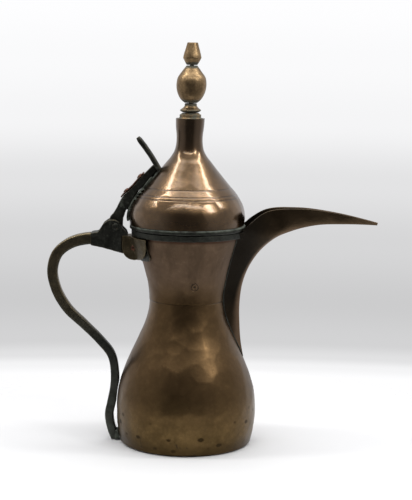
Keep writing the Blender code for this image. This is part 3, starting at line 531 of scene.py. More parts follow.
LEAN = 0.020                                   # sideways step of the lid for each unit of height
LEAN_FROM = 0.0340                             # height in the dome that stands over the base's centre
DOME_SHAPE = [(0.980, 0.0), (1.0, 0.08), (0.975, 0.145), (0.860, 0.253), (0.640, 0.366), (0.417, 0.479),
              (0.211, 0.588), (0.107, 0.644), (0.036, 0.701), (0.006, 0.760), (0.0, 0.815),
              (0.024, 0.926), (0.033, 1.0)]    # share of the way from neck to rim, and of the height


def lean(z):
    """Sideways step of the hand-raised lid at each height."""
    return LEAN * (z - DOME_LOW - LEAN_FROM)


def dome_line(count):
    """(radius, height) points up the outside of the lid's dome."""
    neck = sizes().lid_neck_radius
    return curve_through([(neck + share * (LID_RADIUS - neck), DOME_LOW + rise * (DOME_TOP - DOME_LOW))
                          for share, rise in DOME_SHAPE], count)


def dome_radius(z):
    """Outer radius of the lid's dome at each height."""
    line = dome_line(600)
    return np.interp(z, line[:, 1], line[:, 0])


def dome_side(share):
    """(x, z) on the handle's side of the dome at a share of its height."""
    z = DOME_LOW + share * (DOME_TOP - DOME_LOW)
    return float(lean(z) - dome_radius(z)), z


# ---- shader maths --------------------------------------------------------------------------------

class Value:
    """A number that changes over a surface.  Operators on it add Math nodes."""

    def __init__(self, finish, socket):
        self.finish = finish
        self.socket = socket

    def math(self, operation, *others):
        """This value and others put through a Math node, in order."""
        inputs = dict(enumerate((self, *others)))
        return self.finish.node("ShaderNodeMath", {"operation": operation}, inputs)

    def __add__(self, other):
        return self.math("ADD", other)

    __radd__ = __add__

    def __mul__(self, other):
        return self.math("MULTIPLY", other)

    __rmul__ = __mul__

    def __sub__(self, other):
        return self.math("SUBTRACT", other)

    def __rsub__(self, other):
        return self * -1.0 + other

    def __pow__(self, other):
        return self.math("POWER", other)

    def abs(self):
        """Its size without its sign."""
        return self.math("ABSOLUTE")

    def most(self, other):
        """The larger of two values."""
        return self.math("MAXIMUM", other)

    def clear(self, start, end):
        """0 at start and 1 at end, blended smoothly, whichever of them is larger."""
        settings = {"interpolation_type": "SMOOTHSTEP"}
        if start < end:
            return self.finish.node("ShaderNodeMapRange", settings, {0: self, 1: start, 2: end})
        return 1.0 - self.clear(end, start)

    def near(self, centre, width):
        """1 at a value and 0 a width away from it."""
        return (self - centre).abs().clear(width, 0.0)


class Nodes:
    """A node tree, and the one way in which a node is added to it."""

    def __init__(self, tree):
        self.tree = tree

    def node(self, kind, settings, inputs, output=0):
        """Any node: its settings first, then the values or links of its sockets."""
        made = self.tree.nodes.new(kind)
        for key, value in settings.items():
            setattr(made, key, value)
        for key, value in inputs.items():
            self.link(value, made.inputs[key])
        return Value(self, made.outputs[output])

    def link(self, value, socket):
        """Put a number, a colour or another node's output into a socket."""
        value = value.socket if isinstance(value, Value) else value
        if isinstance(value, bpy.types.NodeSocket):
            self.tree.links.new(value, socket)
        else:
            socket.default_value = value

    def axes(self, place):
        """The three coordinates of a place."""
        return [self.node("ShaderNodeSeparateXYZ", {}, {0: place}, i) for i in range(3)]

    def mix(self, share, first, second):
        """Two colours mixed by a share."""
        first, second = ((*c, 1.0) if isinstance(c, tuple) else c for c in (first, second))
        return self.node("ShaderNodeMix", {"data_type": "RGBA"}, {0: share, 6: first, 7: second}, 2)


COAT_ROUGHNESS, COAT_IOR = 0.14, 1.9           # of the thin glassy film on old metal


class Finish(Nodes):
    """A procedural metal finish, worked out from the place on the pot."""

    def __init__(self, name):
        self.material = bpy.data.materials.new(name)
        self.material.use_nodes = True
        super().__init__(self.material.node_tree)
        self.shader = self.tree.nodes["Principled BSDF"]
        self.place = self.node("ShaderNodeTexCoord", {}, {}, "Object").socket
        self.x, self.y, self.z = self.axes(self.place)
        self.relief = None

    def stretched(self, x, y, z):
        """Place on the pot with each axis scaled."""
        return self.node("ShaderNodeMapping", {}, {"Vector": self.place, "Scale": (x, y, z)}).socket

    def noise(self, size, detail=4.0, rough=0.55, twist=0.0, at=None):
        """Noise from 0 to 1, whose largest patches are about the given size in metres."""
        inputs = {"Vector": at or self.place, "Scale": 1.0 / size, "Detail": detail, "Roughness": rough,
                  "Distortion": twist}
        return self.node("ShaderNodeTexNoise", {}, inputs, "Fac")

    def cells(self, size, at=None):
        """Distance to the nearest of scattered points, in cells of the given size."""
        inputs = {"Vector": at or self.place, "Scale": 1.0 / size}
        return self.node("ShaderNodeTexVoronoi", {}, inputs, "Distance")

    def edges(self):
        """How far the surface juts out, about 0.5 where it is flat and more on an edge."""
        return self.node("ShaderNodeNewGeometry", {}, {}, "Pointiness")

    def bump(self, height, depth):
        """Add relief of a depth in metres, on top of what there is."""
        inputs = {"Height": height, "Distance": depth, "Strength": 1.0}
        if self.relief:
            inputs["Normal"] = self.relief
        self.relief = self.node("ShaderNodeBump", {}, inputs)

    def done(self, base, roughness, metallic=1.0, coat=0.0):
        """Set the shader and return the material."""
        for key, value in (("Coat Roughness", COAT_ROUGHNESS), ("Coat IOR", COAT_IOR), ("Base Color", base),
                           ("Roughness", roughness), ("Metallic", metallic), ("Coat Weight", coat),
                           ("Normal", self.relief)):
            if value is not None:
                self.link(value, self.shader.inputs[key])
        return self.material


def shade(base, amount):
    """A colour made darker or lighter."""
    return tuple(min(channel * amount, 1.0) for channel in base)


def skin_relief(f):
    """Fine wear of old metal: a soft graininess, rubbed scratches and pits."""
    f.bump(f.noise(0.0016, 6.0, 0.6), 0.00003)
    f.bump(f.noise(0.0009, 3.0, 0.6, at=f.stretched(0.35, 0.35, 3.0)), 0.00001)
    f.bump(f.cells(0.0032).clear(0.0, 0.22), 0.00003)


def mottled(f, tone, dark, light, size):
    """A tone of patina in soft clouds with fine speckle: a darker, its own and a lighter shade."""
    broad = f.noise(size, 5.0, 0.6, 0.4)
    fine = f.noise(size / 6.0, 6.0, 0.65)
    base = f.mix((broad * 0.7 + fine * 0.3).clear(0.34, 0.62), shade(tone, dark), tone)
    return f.mix((fine * 0.6 + broad * 0.4).clear(0.52, 0.72), base, shade(tone, light))


PUNCH_X, PUNCH_Z = 0.0059, 0.1225              # middle of the maker's punch on the neck's front
PUNCH_RING, PUNCH_DOT = 0.0026, 0.0011         # radii of its ring and its dot


def body_finish():
    """Hammered sheet of the belly and neck: grey-brown copper above, brown at the waist, brass below.

    The base is olive gold with dark spots, and stains run down from the rim.  The neck has a small
    round maker's punch of one ring with a dot.  The lowest centimetre and a half is darkened as
    painted shade where the base turns under onto the floor, and a dark line along the waist seam is
    painted shade that dulls its reflection.
    """
    f = Finish("body_patina")
    belly, gold, neck = tint("belly"), tint("gold"), tint("neck")
    brown = mottled(f, belly, 0.72, 1.28, 0.030)
    bright = mottled(f, gold, 0.60, 1.22, 0.016)
    grey = mottled(f, neck, 0.78, 1.22, 0.022)
    wander = f.noise(0.040, 4.0) - 0.5
    base = f.mix((f.z + wander * 0.030).clear(0.060, 0.012), brown, bright)
    runs = f.noise(0.010, 5.0, at=f.stretched(1.0, 1.0, 0.22)).clear(0.50, 0.68)
    upper = f.mix(runs * 0.35, grey, shade(neck, 0.50))
    above = (f.z + wander * 0.020).clear(WAIST_HEIGHT - 0.004, WAIST_HEIGHT + 0.024)
    base = f.mix(above, base, upper)
    # painted shade: a dark line along the waist seam dulls the bright reflection of the seam's edge
    base = f.mix(f.z.near(WAIST_HEIGHT, 0.0009) * 0.8, base, shade(belly, 0.30))
    spots = f.cells(0.0125, at=f.stretched(1.0, 1.0, 1.5)) + f.noise(0.003, 3.0) * 0.14
    spots = spots.clear(0.31, 0.20) * f.z.clear(0.040, 0.018)
    base = f.mix(spots * 0.85, base, shade(gold, 0.20))
    # painted shade: the lowest centimetre and a half turns darker, for the shadow where the base turns under
    # to the floor
    base = f.mix((f.z + wander * 0.006).clear(0.015, 0.004) * 0.6, base, shade(gold, 0.35))
    stain = f.noise(0.012, 6.0, 0.7, 1.0).clear(0.56, 0.70) * f.z.clear(0.030, 0.004)
    base = f.mix(stain * 0.75, base, tint("soot"))
    lip = f.z.clear(NECK_TOP - 0.0024, NECK_TOP - 0.0006)
    base = f.mix(lip * 0.7, base, shade(tint("red"), 0.45))
    away = ((f.x - PUNCH_X) ** 2.0 + (f.z - PUNCH_Z) ** 2.0) ** 0.5
    punch = away.near(PUNCH_RING, 0.0006).most(away.clear(PUNCH_DOT, 0.0006)) * f.y.clear(0.0, -0.005)
    base = f.mix(punch * 0.7, base, tint("soot"))
    skin_relief(f)
    f.bump(1.0 - punch, 0.0003)
    rough = 0.27 + f.noise(0.022, 5.0) * 0.16 + (spots + stain) * 0.2 + runs * 0.05 + above * 0.14
    return f.done(base, rough)


def lid_finish():
    """Warm brown copper, darker low down, near its neck and in the engraved rings."""
    f = Finish("lid_patina")
    lid = tint("lid")
    base = mottled(f, lid, 0.66, 1.22, 0.018)
    rim = (f.z + f.noise(0.010, 4.0) * 0.006).clear(DOME_LOW + 0.011, DOME_LOW + 0.0015)
    base = f.mix(rim * 0.55, base, shade(lid, 0.38))
    neck = (f.z + f.noise(0.009, 4.0) * 0.008).clear(DOME_LOW + 0.052, DOME_LOW + 0.064)
    base = f.mix(neck * 0.55, base, shade(lid, 0.42))
    rings = sum((f.z.near(z, 0.0007) for z in GROOVES[1:]), f.z.near(GROOVES[0], 0.0007))
    base = f.mix(rings * 0.7, base, shade(lid, 0.30))
    skin_relief(f)
    rough = 0.17 + f.noise(0.015, 5.0) * 0.14 + rim * 0.1
    return f.done(base, rough, 1.0, 0.30)


def spout_finish():
    """Dark brown sheet, near black at its root, with lighter rubbed edges."""
    f = Finish("spout_patina")
    brown = tint("spout")
    base = mottled(f, brown, 0.62, 1.35, 0.020)
    out = f.x.clear(0.046, 0.105)
    base = f.mix(out * 0.55, base, shade(brown, 2.1))
    root = (f.x + f.noise(0.012, 4.0) * 0.012).clear(0.074, 0.050) * f.z.clear(0.085, 0.115)
    base = f.mix(root * 0.85, base, shade(tint("soot"), 0.55))
    side = f.y.abs()
    keel = side.clear(0.0040, 0.0012) * f.z.clear(0.172, 0.150)
    base = f.mix(keel * 0.7, base, shade(tint("neck"), 1.7))
    skin_relief(f)
    rough = 0.26 + f.noise(0.015, 5.0) * 0.14 + root * 0.12
    return f.done(base, rough)


def bronze_finish(name, rubbed=0.5, crust=0.5, bronze=None):
    """Cast bronze: near-black green skin, olive where it is rubbed and grey-green in its hollows."""
    f = Finish(name)
    bronze = bronze or tint("bronze")
    base = mottled(f, bronze, 0.55, 1.7, 0.009)
    edges = f.edges()
    worn = (edges + (f.noise(0.004, 4.0) - 0.5) * 0.06).clear(0.515, 0.56)
    base = f.mix(worn * rubbed, base, tint("olive"))
    hollow = (edges + (f.noise(0.003, 4.0) - 0.5) * 0.08).clear(0.485, 0.44)
    bloom = f.noise(0.006, 6.0, 0.7).clear(0.56, 0.72)
    green = hollow.most(bloom * 0.6)
    base = f.mix(green * crust, base, tint("verdigris"))
    f.bump(f.noise(0.0022, 5.0, 0.6), 0.00008)
    f.bump(f.cells(0.0016).clear(0.0, 0.3), 0.00003)
    rough = 0.42 + f.noise(0.006, 4.0) * 0.16 + green * (0.25 * crust) - worn * 0.06
    return f.done(base, rough, 1.0 - green * (0.7 * crust))


def handle_finish():
    """The handle's bar: dark bronze, olive on the faces that look upward high on the bar."""
    f = Finish("handle_bronze")
    bronze = tint("bronze")
    base = mottled(f, bronze, 0.60, 1.5, 0.012)
    up = f.node("ShaderNodeSeparateXYZ", {}, {0: f.node("ShaderNodeNewGeometry", {}, {}, "Normal")}, 2)
    # olive on the faces that look upward, above a height
    rubbed = (up + (f.noise(0.006, 5.0) - 0.5) * 0.9).clear(-0.60, 0.45) * f.z.clear(0.075, 0.120)
    base = f.mix(rubbed * 0.85, base, tint("olive"))
    edges = f.edges()
    worn = (edges + (f.noise(0.004, 4.0) - 0.5) * 0.05).clear(0.52, 0.57)
    base = f.mix(worn * 0.45, base, shade(tint("olive"), 0.9))
    foot = f.z.clear(0.050, 0.006) * f.noise(0.008, 5.0).clear(0.40, 0.62)
    base = f.mix(foot * 0.20, base, tint("verdigris"))
    f.bump(f.noise(0.0030, 5.0, 0.55), 0.00008)
    f.bump(f.cells(0.0024).clear(0.0, 0.28), 0.00003)
    rough = 0.38 + f.noise(0.008, 4.0) * 0.16 - rubbed * 0.06
    return f.done(base, rough, 1.0 - foot * 0.3)


def crust_finish(name, metal, share=0.7, edge=None):
    """Solder and bands under verdigris: grey-green crust broken by patches of dark metal.

    Where an edge's height is given, the crust thickens above it.
    """
    f = Finish(name)
    if edge:
        above = (f.z + (f.noise(0.006) - 0.5) * 0.0012).clear(edge - 0.0006, edge + 0.0003)
        share = share + above * (0.9 - share)
    bare = mottled(f, tint(metal), 0.6, 1.4, 0.006)
    patches = (f.noise(0.0045, 6.0, 0.68) + f.noise(0.0012, 3.0) * 0.3).clear(0.52, 0.72)
    green = mottled(f, tint("verdigris"), 0.55, 1.4, 0.002)
    base = f.mix(patches * share, bare, green)
    f.bump(f.noise(0.0010, 6.0, 0.7), 0.00016)
    return f.done(base, 0.46 + patches * (0.35 * share), 1.0 - patches * (0.8 * share))


def finial_finish():
    """Cast brass, golden brown, with blue-green crust in the joints between its pieces."""
    f = Finish("finial_brass_patina")
    brass = tint("finial")
    base = mottled(f, brass, 0.55, 1.45, 0.008)
    crust = f.z.near(low("finial_tip").z, 0.0042)
    for z, width in ((low("finial_ball").z, 0.0048), (low("finial_collar").z, 0.0046),
                     (low("neck_cap").z + 0.0008, 0.0026)):
        crust = crust.most(f.z.near(z, width))
    crust = (crust + (f.noise(0.0035, 5.0, 0.7) - 0.5) * 0.9).clear(0.30, 0.78)
    grime = f.noise(0.005, 5.0, 0.7).clear(0.52, 0.70)
    base = f.mix(grime * 0.5, base, shade(brass, 0.35))
    base = f.mix(crust * 0.8, base, shade(tint("verdigris"), 0.62))
    f.bump(f.noise(0.0014, 6.0, 0.6), 0.00006)
    f.bump(f.cells(0.0021).clear(0.0, 0.25), 0.00004)
    rough = 0.30 + f.noise(0.006, 5.0) * 0.18 + crust * 0.3
    return f.done(base, rough, 1.0 - crust * 0.65)


def copper_finish():
    """Dull red copper with grey-green tarnish in patches."""
    f = Finish("red_copper_patina")
    red = tint("red")
    base = mottled(f, red, 0.5, 1.3, 0.004)
    grey = f.noise(0.006, 5.0, 0.7).clear(0.50, 0.66)
    base = f.mix(grey * 0.45, base, shade(tint("verdigris"), 0.8))
    f.bump(f.noise(0.0016, 5.0, 0.6), 0.00010)
    return f.done(base, 0.38 + grey * 0.22, 1.0 - grey * 0.35)


def tin_finish():
    """Dull tinned inside, with coffee's brown stain."""
    f = Finish("tinned_patina")
    base = mottled(f, tint("tin"), 0.6, 1.2, 0.012)
    stain = f.noise(0.010, 5.0, 0.7).clear(0.48, 0.66)
    base = f.mix(stain * 0.6, base, shade(tint("spout"), 1.2))
    f.bump(f.noise(0.0020, 5.0), 0.00008)
    return f.done(base, 0.45 + stain * 0.15)


FINISHES = {}


def finish(name):
    """A finish by name, made once."""
    makers = {"body": body_finish, "lid": lid_finish, "spout": spout_finish,
              "handle": handle_finish, "finial": finial_finish, "copper": copper_finish, "tin": tin_finish,
              "bronze": lambda: bronze_finish("cast_bronze_patina"),
              "arm": lambda: bronze_finish("arm_bronze_patina", 0.35, 0.85),
              "bracket": lambda: bronze_finish("bracket_bronze_patina", 0.8, 0.6, shade(tint("olive"), 0.62)),
              "ring": lambda: crust_finish("ring_crust", "bronze", 0.10),
              "band": lambda: crust_finish("band_crust", "bronze", 0.08, BAND_TOP - 0.0007),
              "solder": lambda: crust_finish("solder_crust", "bronze", 0.7),
              "cap": lambda: crust_finish("cap_crust", "finial", 0.75)}
    if name not in FINISHES:
        FINISHES[name] = makers[name]()
    return FINISHES[name]


# ---- body ----------------------------------------------------------------------------------------

SEGMENTS = 272                                 # round the belly, the neck and the lid
ROW = 0.00075                                  # between rows of the big sheets


def make_belly():
    """Belly: its outline swept round Z, hammered outside, with a turned-in lower edge."""
    s = sizes()
    corner, wall = s.base_corner, s.wall
    centre = (float(body_radius(corner)) - corner, corner)
    flange = high("bottom_plate").x + FIT
    z = np.arange(WAIST_HEIGHT, corner, -ROW)
    outer = np.vstack([np.column_stack([body_radius(z), z]), arc(centre, corner, -8, -90, 7),
                       [(flange, 0.0)]])
    z = np.arange(WAIST_HEIGHT, corner, -2.0 * ROW)
    inner = np.vstack([np.column_stack([body_radius(z) - wall, z]), arc(centre, corner - wall, -20, -90, 4),
                       [(flange, wall)]])
    points, outward = turned(np.vstack([outer, inner[::-1]]), SEGMENTS)
    depth = np.zeros(len(points))
    depth[:len(outer)] = smooth(outer[:, 1], 0.0, 0.010)
    return turned_mesh("belly", hammered(points, outward, depth[:, None], 11), True)


def make_bottom():
    """Bottom plate: a disc with fine turned rings and a slightly raised middle."""
    edge = high("bottom_plate").x
    radius = np.linspace(0.0, edge, 70)
    rings = 0.00006 * (0.5 - 0.5 * np.cos(radius / 0.0016))
    under = np.column_stack([radius, rings + 0.0004 * smooth(radius, 0.6 * edge, 0.2 * edge)])
    top = np.column_stack([radius, sizes().wall - rings])
    points, _ = turned(np.vstack([top, under[::-1]]), 120)
    return turned_mesh("base_plate", points, False)


NECK_COLUMNS = 288                             # round the neck
NECK_TUCK = 0.0025                             # how far the neck's sheet runs on inside the belly
OPENING_LOW, OPENING_TOP = NECK_TOP - 0.0330, NECK_TOP - 0.0070
OPENING_HALF = (0.0020, 0.0120)                # the pouring opening's half widths, low down and at its top


def make_neck():
    """Neck: its outline swept round Z and hammered, as an open sheet with the pouring opening.

    Columns close to the spout are drawn together towards the opening's slanted sides, and the quads
    inside the opening are left out.  The columns start half a turn from where turned starts, so its
    directions point inwards and the blows stand out a little here.
    """
    z = np.arange(NECK_TOP, WAIST_HEIGHT - NECK_TUCK, -ROW)
    skin = body_radius(z) - 0.0007 * smooth(z, WAIST_HEIGHT + 0.0001, WAIST_HEIGHT - 0.0014)
    _, outward = turned(np.column_stack([skin, z]), NECK_COLUMNS)
    half = np.interp(z, [OPENING_LOW, OPENING_TOP], OPENING_HALF)
    side = np.arcsin(half / body_radius(z))[:, None]
    spread = np.linspace(-math.pi, math.pi, NECK_COLUMNS, endpoint=False)
    middle = np.radians(18.0)
    beyond = (np.abs(spread) - middle) * (math.pi - side) / (math.pi - middle)
    drawn = np.where(np.abs(spread) < middle, spread / middle * side, np.sign(spread) * (side + beyond))
    blend = (smooth(z, OPENING_LOW - 0.020, OPENING_LOW) * smooth(z, NECK_TOP, OPENING_TOP))[:, None]
    turn = spread + blend * (drawn - spread)
    radius, heights = skin[:, None], np.broadcast_to(z[:, None], turn.shape)
    points = np.stack([radius * np.cos(turn), radius * np.sin(turn), heights], axis=-1)
    points = hammered(points, outward, smooth(z, NECK_TOP, NECK_TOP - 0.006)[:, None], 11)
    row_middle = (z[:-1] + z[1:]) / 2
    hole_rows = (row_middle > OPENING_LOW) & (row_middle < OPENING_TOP)
    hole_columns = (spread > -middle) & (spread + 2.0 * math.pi / NECK_COLUMNS < middle)
    keep = ~(hole_rows[:, None] & hole_columns[None, :])
    return mesh_of("neck", points, grid_quads(len(z), NECK_COLUMNS)[keep])


def make_ring():
    """Mouth ring: a rounded band swept round Z, uneven where solder has run."""
    inside = NECK_RADIUS - sizes().wall
    corners = [(RING_RADIUS, RING_TOP), (RING_RADIUS, RING_LOW), (inside, RING_LOW), (inside, RING_TOP)]
    profile = evenly(rounded(corners, 0.0009, closed=True), 0.0006)
    points, outward = turned(profile, SEGMENTS)
    dent = 0.00018 * swells(points, 0.0045, 21) + 0.00006 * swells(points, 0.0015, 22)
    return turned_mesh("ring", points - dent[..., None] * outward, True)


SPOUT_FOOT = 0.0610                            # height of the keel's first row, inside the belly


def spout_rows():
    """Rows along the spout from its foot to its tip: keel (x, z), then one edge (x, y, z)."""
    on_body = [(0.000, -0.0006, 0.0018), (0.140, 0.0026, 0.0040), (0.320, 0.0084, 0.0070),
               (0.485, 0.0116, 0.0100), (0.635, 0.0121, 0.0135), (0.765, 0.0136, 0.0170),
               (0.880, 0.0176, 0.0195)]
    rows = []
    for share, proud, half in on_body:
        keel = SPOUT_FOOT + share * (NECK_TOP - SPOUT_FOOT)
        edge = keel + 0.0015 + 0.0120 * share**2
        inside = float(body_radius(min(edge, NECK_TOP))) - 0.0040
        edge_x = math.sqrt(max(inside**2 - half**2, 0.0))
        rows.append((float(body_radius(keel)) + proud, keel, edge_x, half, edge))
    beak = [(0.0242, -0.0022, 0.0025, 0.0175, 0.0080), (0.0372, 0.0040, 0.0182, 0.0098, 0.0190),
            (0.0557, 0.0088, 0.0420, 0.0056, 0.0214), (0.0780, 0.0099, 0.0690, 0.0032, 0.0186),
            (0.1016, 0.0094, 0.1019, 0.0013, 0.0112)]
    for keel_x, keel_z, edge_x, half, edge_z in beak:
        rows.append((NECK_RADIUS + keel_x, NECK_TOP + keel_z, NECK_RADIUS + edge_x, half, NECK_TOP + edge_z))
    return rows


KEEL_ROUND = 0.24                              # 0 is a sharp keel, 1 a round trough


def trough(rows, across, keel_sheet, side_sheet):
    """Points of the spout's sheet, at a share across from -1 to 1, moved in by the sheet's depth.

    A section's depth grows across it as a hyperbola, which gives flat sides and a rounded keel.
    """
    keel, edge, half = rows[:, None, [0, 1]], rows[:, None, [2, 4]], rows[:, None, 3]
    depth = np.linalg.norm(edge - keel, axis=-1)
    bow = (np.hypot(across, KEEL_ROUND) - KEEL_ROUND) / (math.hypot(1.0, KEEL_ROUND) - KEEL_ROUND)
    rise = (keel_sheet[:, None] + (depth - keel_sheet[:, None]) * bow) / depth
    x, z = np.moveaxis(keel + (edge - keel) * rise[..., None], -1, 0)
    return np.stack([x, (half - side_sheet[:, None]) * across, z], axis=-1)


def coped(rows, keel_sheet, side_sheet):
    """Share across at which each section of the spout meets the pot, or 1 where it stays clear."""
    tried = np.linspace(0.0, 1.0, 400)
    across = np.broadcast_to(tried[None, :], (len(rows), len(tried)))
    points = trough(rows, across, keel_sheet, side_sheet)
    inside = np.hypot(points[..., 0], points[..., 1]) < keepout(points[..., 2])
    return np.where(inside.any(axis=1), inside.argmax(axis=1) / (len(tried) - 1.0), 1.0)


def spout_sheet():
    """Rows of the spout that stand clear of the pot, with their sheet and where both skins are coped."""
    rows = curve_through(spout_rows(), 330)
    depth = np.hypot(rows[:, 2] - rows[:, 0], rows[:, 4] - rows[:, 1])
    half = rows[:, 3]
    slant = np.hypot(depth, half)
    sheet = np.minimum(0.0011, 0.40 * half)
    keel_sheet = np.minimum(sheet * slant / half, 0.45 * depth)
    side_sheet = np.minimum(sheet * slant / depth, 0.60 * half)
    none = np.zeros(len(rows))
    outer, inner = coped(rows, none, none), coped(rows, keel_sheet, side_sheet)
    least = 0.02
    start = int(np.argmax(outer > least))
    return [a[start:] for a in (rows, keel_sheet, side_sheet, outer, np.maximum(inner, least))]


def make_spout():
    """Spout: a trough of sheet whose sections follow a curve from its foot on the belly to its tip.

    Each section is one loop: the outer skin, a rounded edge, the inner skin and the other edge.
    """
    rows, keel_sheet, side_sheet, outer, inner = spout_sheet()
    none = np.zeros(len(rows))
    across = np.linspace(-1.0, 1.0, 45)[None, :]
    skin = trough(rows, outer[:, None] * across, none, none)
    lining = trough(rows, inner[:, None] * across, keel_sheet, side_sheet)[:, ::-1]
    free = smooth(outer, 0.97, 1.0)[:, None] * smooth(skin[:, -1, 0], LID_RADIUS, LID_RADIUS + 0.004)[:, None]
    wave = 0.00035 * swells(skin, 0.020, 31) + 0.00012 * swells(skin, 0.007, 32)
    stand_off = np.hypot(skin[..., 0], skin[..., 1]) - keepout(skin[..., 2])
    skin[..., 1] -= np.sign(skin[..., 1]) * np.abs(wave) * smooth(stand_off, 0.0, 0.002)
    up = rows[:, [2, 4]] - rows[:, [0, 1]]
    up /= np.linalg.norm(up, axis=1)[:, None]
    up = np.stack([up[:, 0], none, up[:, 1]], axis=-1)
    sheet = np.linalg.norm(skin[:, -1] - lining[:, 0], axis=-1)[:, None]

    def edge(outside, inside):
        for share in (0.15, 0.5, 0.85):
            bulge = 0.40 * math.sin(math.pi * share) * sheet * free
            yield (outside + share * (inside - outside) + up * bulge)[:, None]

    loops = [skin, *edge(skin[:, -1], lining[:, 0]), lining, *edge(lining[:, -1], skin[:, 0])]
    return lofted_mesh("beak", np.concatenate(loops, axis=1))


def bead_mesh(name, line, radius, seed):
    """A bead of solder: a circle carried along a space curve, with its radius uneven."""
    along = directions(line)
    first = np.cross(along, (0.0, 1.0, 0.001))
    first /= np.linalg.norm(first, axis=1)[:, None]
    second = np.cross(along, first)
    size = radius * (1.0 + 0.30 * swells(line, 0.0028, seed) + 0.20 * swells(line, 0.0010, seed + 1))
    step = np.arange(len(line))
    size = size * smooth(step, -1, 4) * smooth(step[::-1], -1, 4)
    angles = np.linspace(0.0, 2.0 * math.pi, 10, endpoint=False)[None, :, None]
    ring = np.cos(angles) * first[:, None] + np.sin(angles) * second[:, None]
    return lofted_mesh(name, line[:, None] + size[:, None, None] * ring)


def make_spout_beads():
    """Beads of solder along both sides of the spout's root, from its foot up to the mouth ring."""
    rows, _, _, outer, _ = spout_sheet()
    none = np.zeros(len(rows))
    meshes = []
    for side in (-1.0, 1.0):
        line = trough(rows, side * outer[:, None], none, none)[:, 0]
        line = line[(outer < 0.999) & (line[:, 2] < RING_LOW)]
        line[:, 1] += side * TOUCH
        meshes.append(bead_mesh("spout_bead", line, 0.00055, 41 + int(side)))
    return meshes


# ---- bracket, handle and hinge -------------------------------------------------------------------

def make_saddle():
    """Thin plate on the neck under the bracket: rows of height, columns of angle to both sides."""
    half = BRACKET_RADIUS
    top, bottom = NECK_TOP - FIT, BRACKET_Z - 1.06 * half
    line = rounded([(BRACKET_X + 0.82 * half, top), (BRACKET_X + 1.10 * half, BRACKET_Z),
                    (BRACKET_X + 1.42 * half, BRACKET_Z - 0.80 * half), (BRACKET_X + 0.3 * half, bottom)],
                   0.0060, 9)
    z = np.linspace(top, bottom, 60)
    edge = np.interp(-z, -line[:, 1], line[:, 0])
    thickness = 0.0010
    radius = body_radius(z) + FIT + thickness
    reach = np.arccos(np.clip(-edge / radius, -1.0, 0.998))
    turn = reach[:, None] * np.linspace(-1.0, 1.0, 130)[None, :]
    radius = np.broadcast_to(radius[:, None], turn.shape)
    heights = np.broadcast_to(z[:, None], turn.shape)
    points = np.stack([-radius * np.cos(turn), radius * np.sin(turn), heights], axis=-1)
    uneven = 0.00012 * swells(points, 0.006, 51)
    outer, inner = points.copy(), points.copy()
    outer[..., :2] *= (1.0 - uneven / radius)[..., None]
    inner[..., :2] *= (1.0 - thickness / radius)[..., None]
    return slab_mesh("saddle", outer, inner)


BAR_DEPTH, FOOT_DEPTH = 0.0088, 0.0064         # of the handle's bar, at its head and at its foot


def handle_line():
    """Centre line of the handle's bar as (x, z): an S from the head, over, and down to the floor."""
    far = HINGE_X - 0.0475
    top, down = HINGE_Z, 0.0420
    rise = top - down
    touch = -(float(body_radius(down)) + FIT + FOOT_DEPTH / 2 - 0.0006)
    foot = -(float(body_radius(0.0)) + 0.0009 + FOOT_DEPTH / 2)
    points = [(HEAD_BACK + 0.0040, top - 0.0093), (HEAD_BACK - 0.0055, top - 0.0102),
              (far + 0.0130, top - 0.0136), (far + 0.0040, top - 0.0210), (far, top - 0.0340),
              (far + 0.0025, down + 0.610 * rise), (far + 0.0110, down + 0.485 * rise),
              (far + 0.0235, down + 0.385 * rise),
              (0.62 * touch + 0.38 * (far + 0.0160), down + 0.290 * rise),
              (touch - 0.0024, down + 0.190 * rise), (touch + 0.0001, down + 0.085 * rise), (touch, down),
              (touch - 0.0024, 0.68 * down), (touch - 0.0040, 0.47 * down), (foot - 0.0036, 0.0100),
              (foot, 0.0), (foot + 0.0025, -0.0060)]
    return curve_through(points, 520)


def make_handle():
    """Handle's bar: a rounded rectangle carried along the S, filed square at both ends.

    The section's planes turn upright at the head and level at the floor.  Broad hammer flats and the
    bar's unevenness are pushed in, and it stays clear of the belly where it touches.
    """
    line = handle_line()
    tangents = directions(line)
    step = np.arange(len(line))
    keep = (step >= np.argmax(line[:, 0] < HEAD_BACK - FIT)) & (line[:, 1] > FLOOR_GAP)
    share = step / len(line)
    depth = BAR_DEPTH / 2 * (1.0 - (1.0 - FOOT_DEPTH / BAR_DEPTH) * np.minimum(share / 0.55, 1.0))
    width = BAR_HALF * depth / (BAR_DEPTH / 2)
    line, tangents = line[keep], tangents[keep]
    line[0, 0], line[-1, 1] = HEAD_BACK - FIT, FLOOR_GAP
    step = np.arange(len(line))
    near_head = smooth(step, 14, 0)[:, None]
    near_foot = smooth(step, len(line) - 16, len(line) - 1)[:, None]
    tangents = tangents * (1.0 - near_head) * (1.0 - near_foot)
    tangents = tangents + near_head * (-1.0, 0.0) + near_foot * (0.0, -1.0)
    tangents /= np.linalg.norm(tangents, axis=1)[:, None]
    points = carried(line, tangents, bar_section(0.42, 7, 0.16), np.column_stack([width, depth])[keep])
    dent = 0.00012 * (0.5 - blows(points, 0.0060, 61)) - 0.00015 * swells(points, 0.020, 62)
    points = points - dent[..., None] * away_from(line, points)
    points[0, :, 0] = HEAD_BACK - FIT
    points[..., 2] = np.maximum(points[..., 2], FLOOR_GAP)
    reach = np.hypot(points[..., 0], points[..., 1])
    points[..., :2] *= np.maximum(1.0, (body_radius(points[..., 2]) + TOUCH) / reach)[..., None]
    return lofted_mesh("bar", points)


RIVET_STILL = 0.0006                           # a rivet's dents die away this close to its axis
PIN_RADIUS, PIN_HEAD = 0.0018, 0.0027          # of the hinge's pin and its domed ends
RIVET_RADIUS = 0.0009                          # of the bracket's rivet and the strip's two


def cap_line(radius, seat, rise):
    """(radius, height) points down a low domed head that sits at a height."""
    dome = np.linspace(0.0, 1.0, 12) * math.pi / 2
    return np.column_stack([radius * np.sin(dome)**0.8, seat + rise * np.cos(dome)])


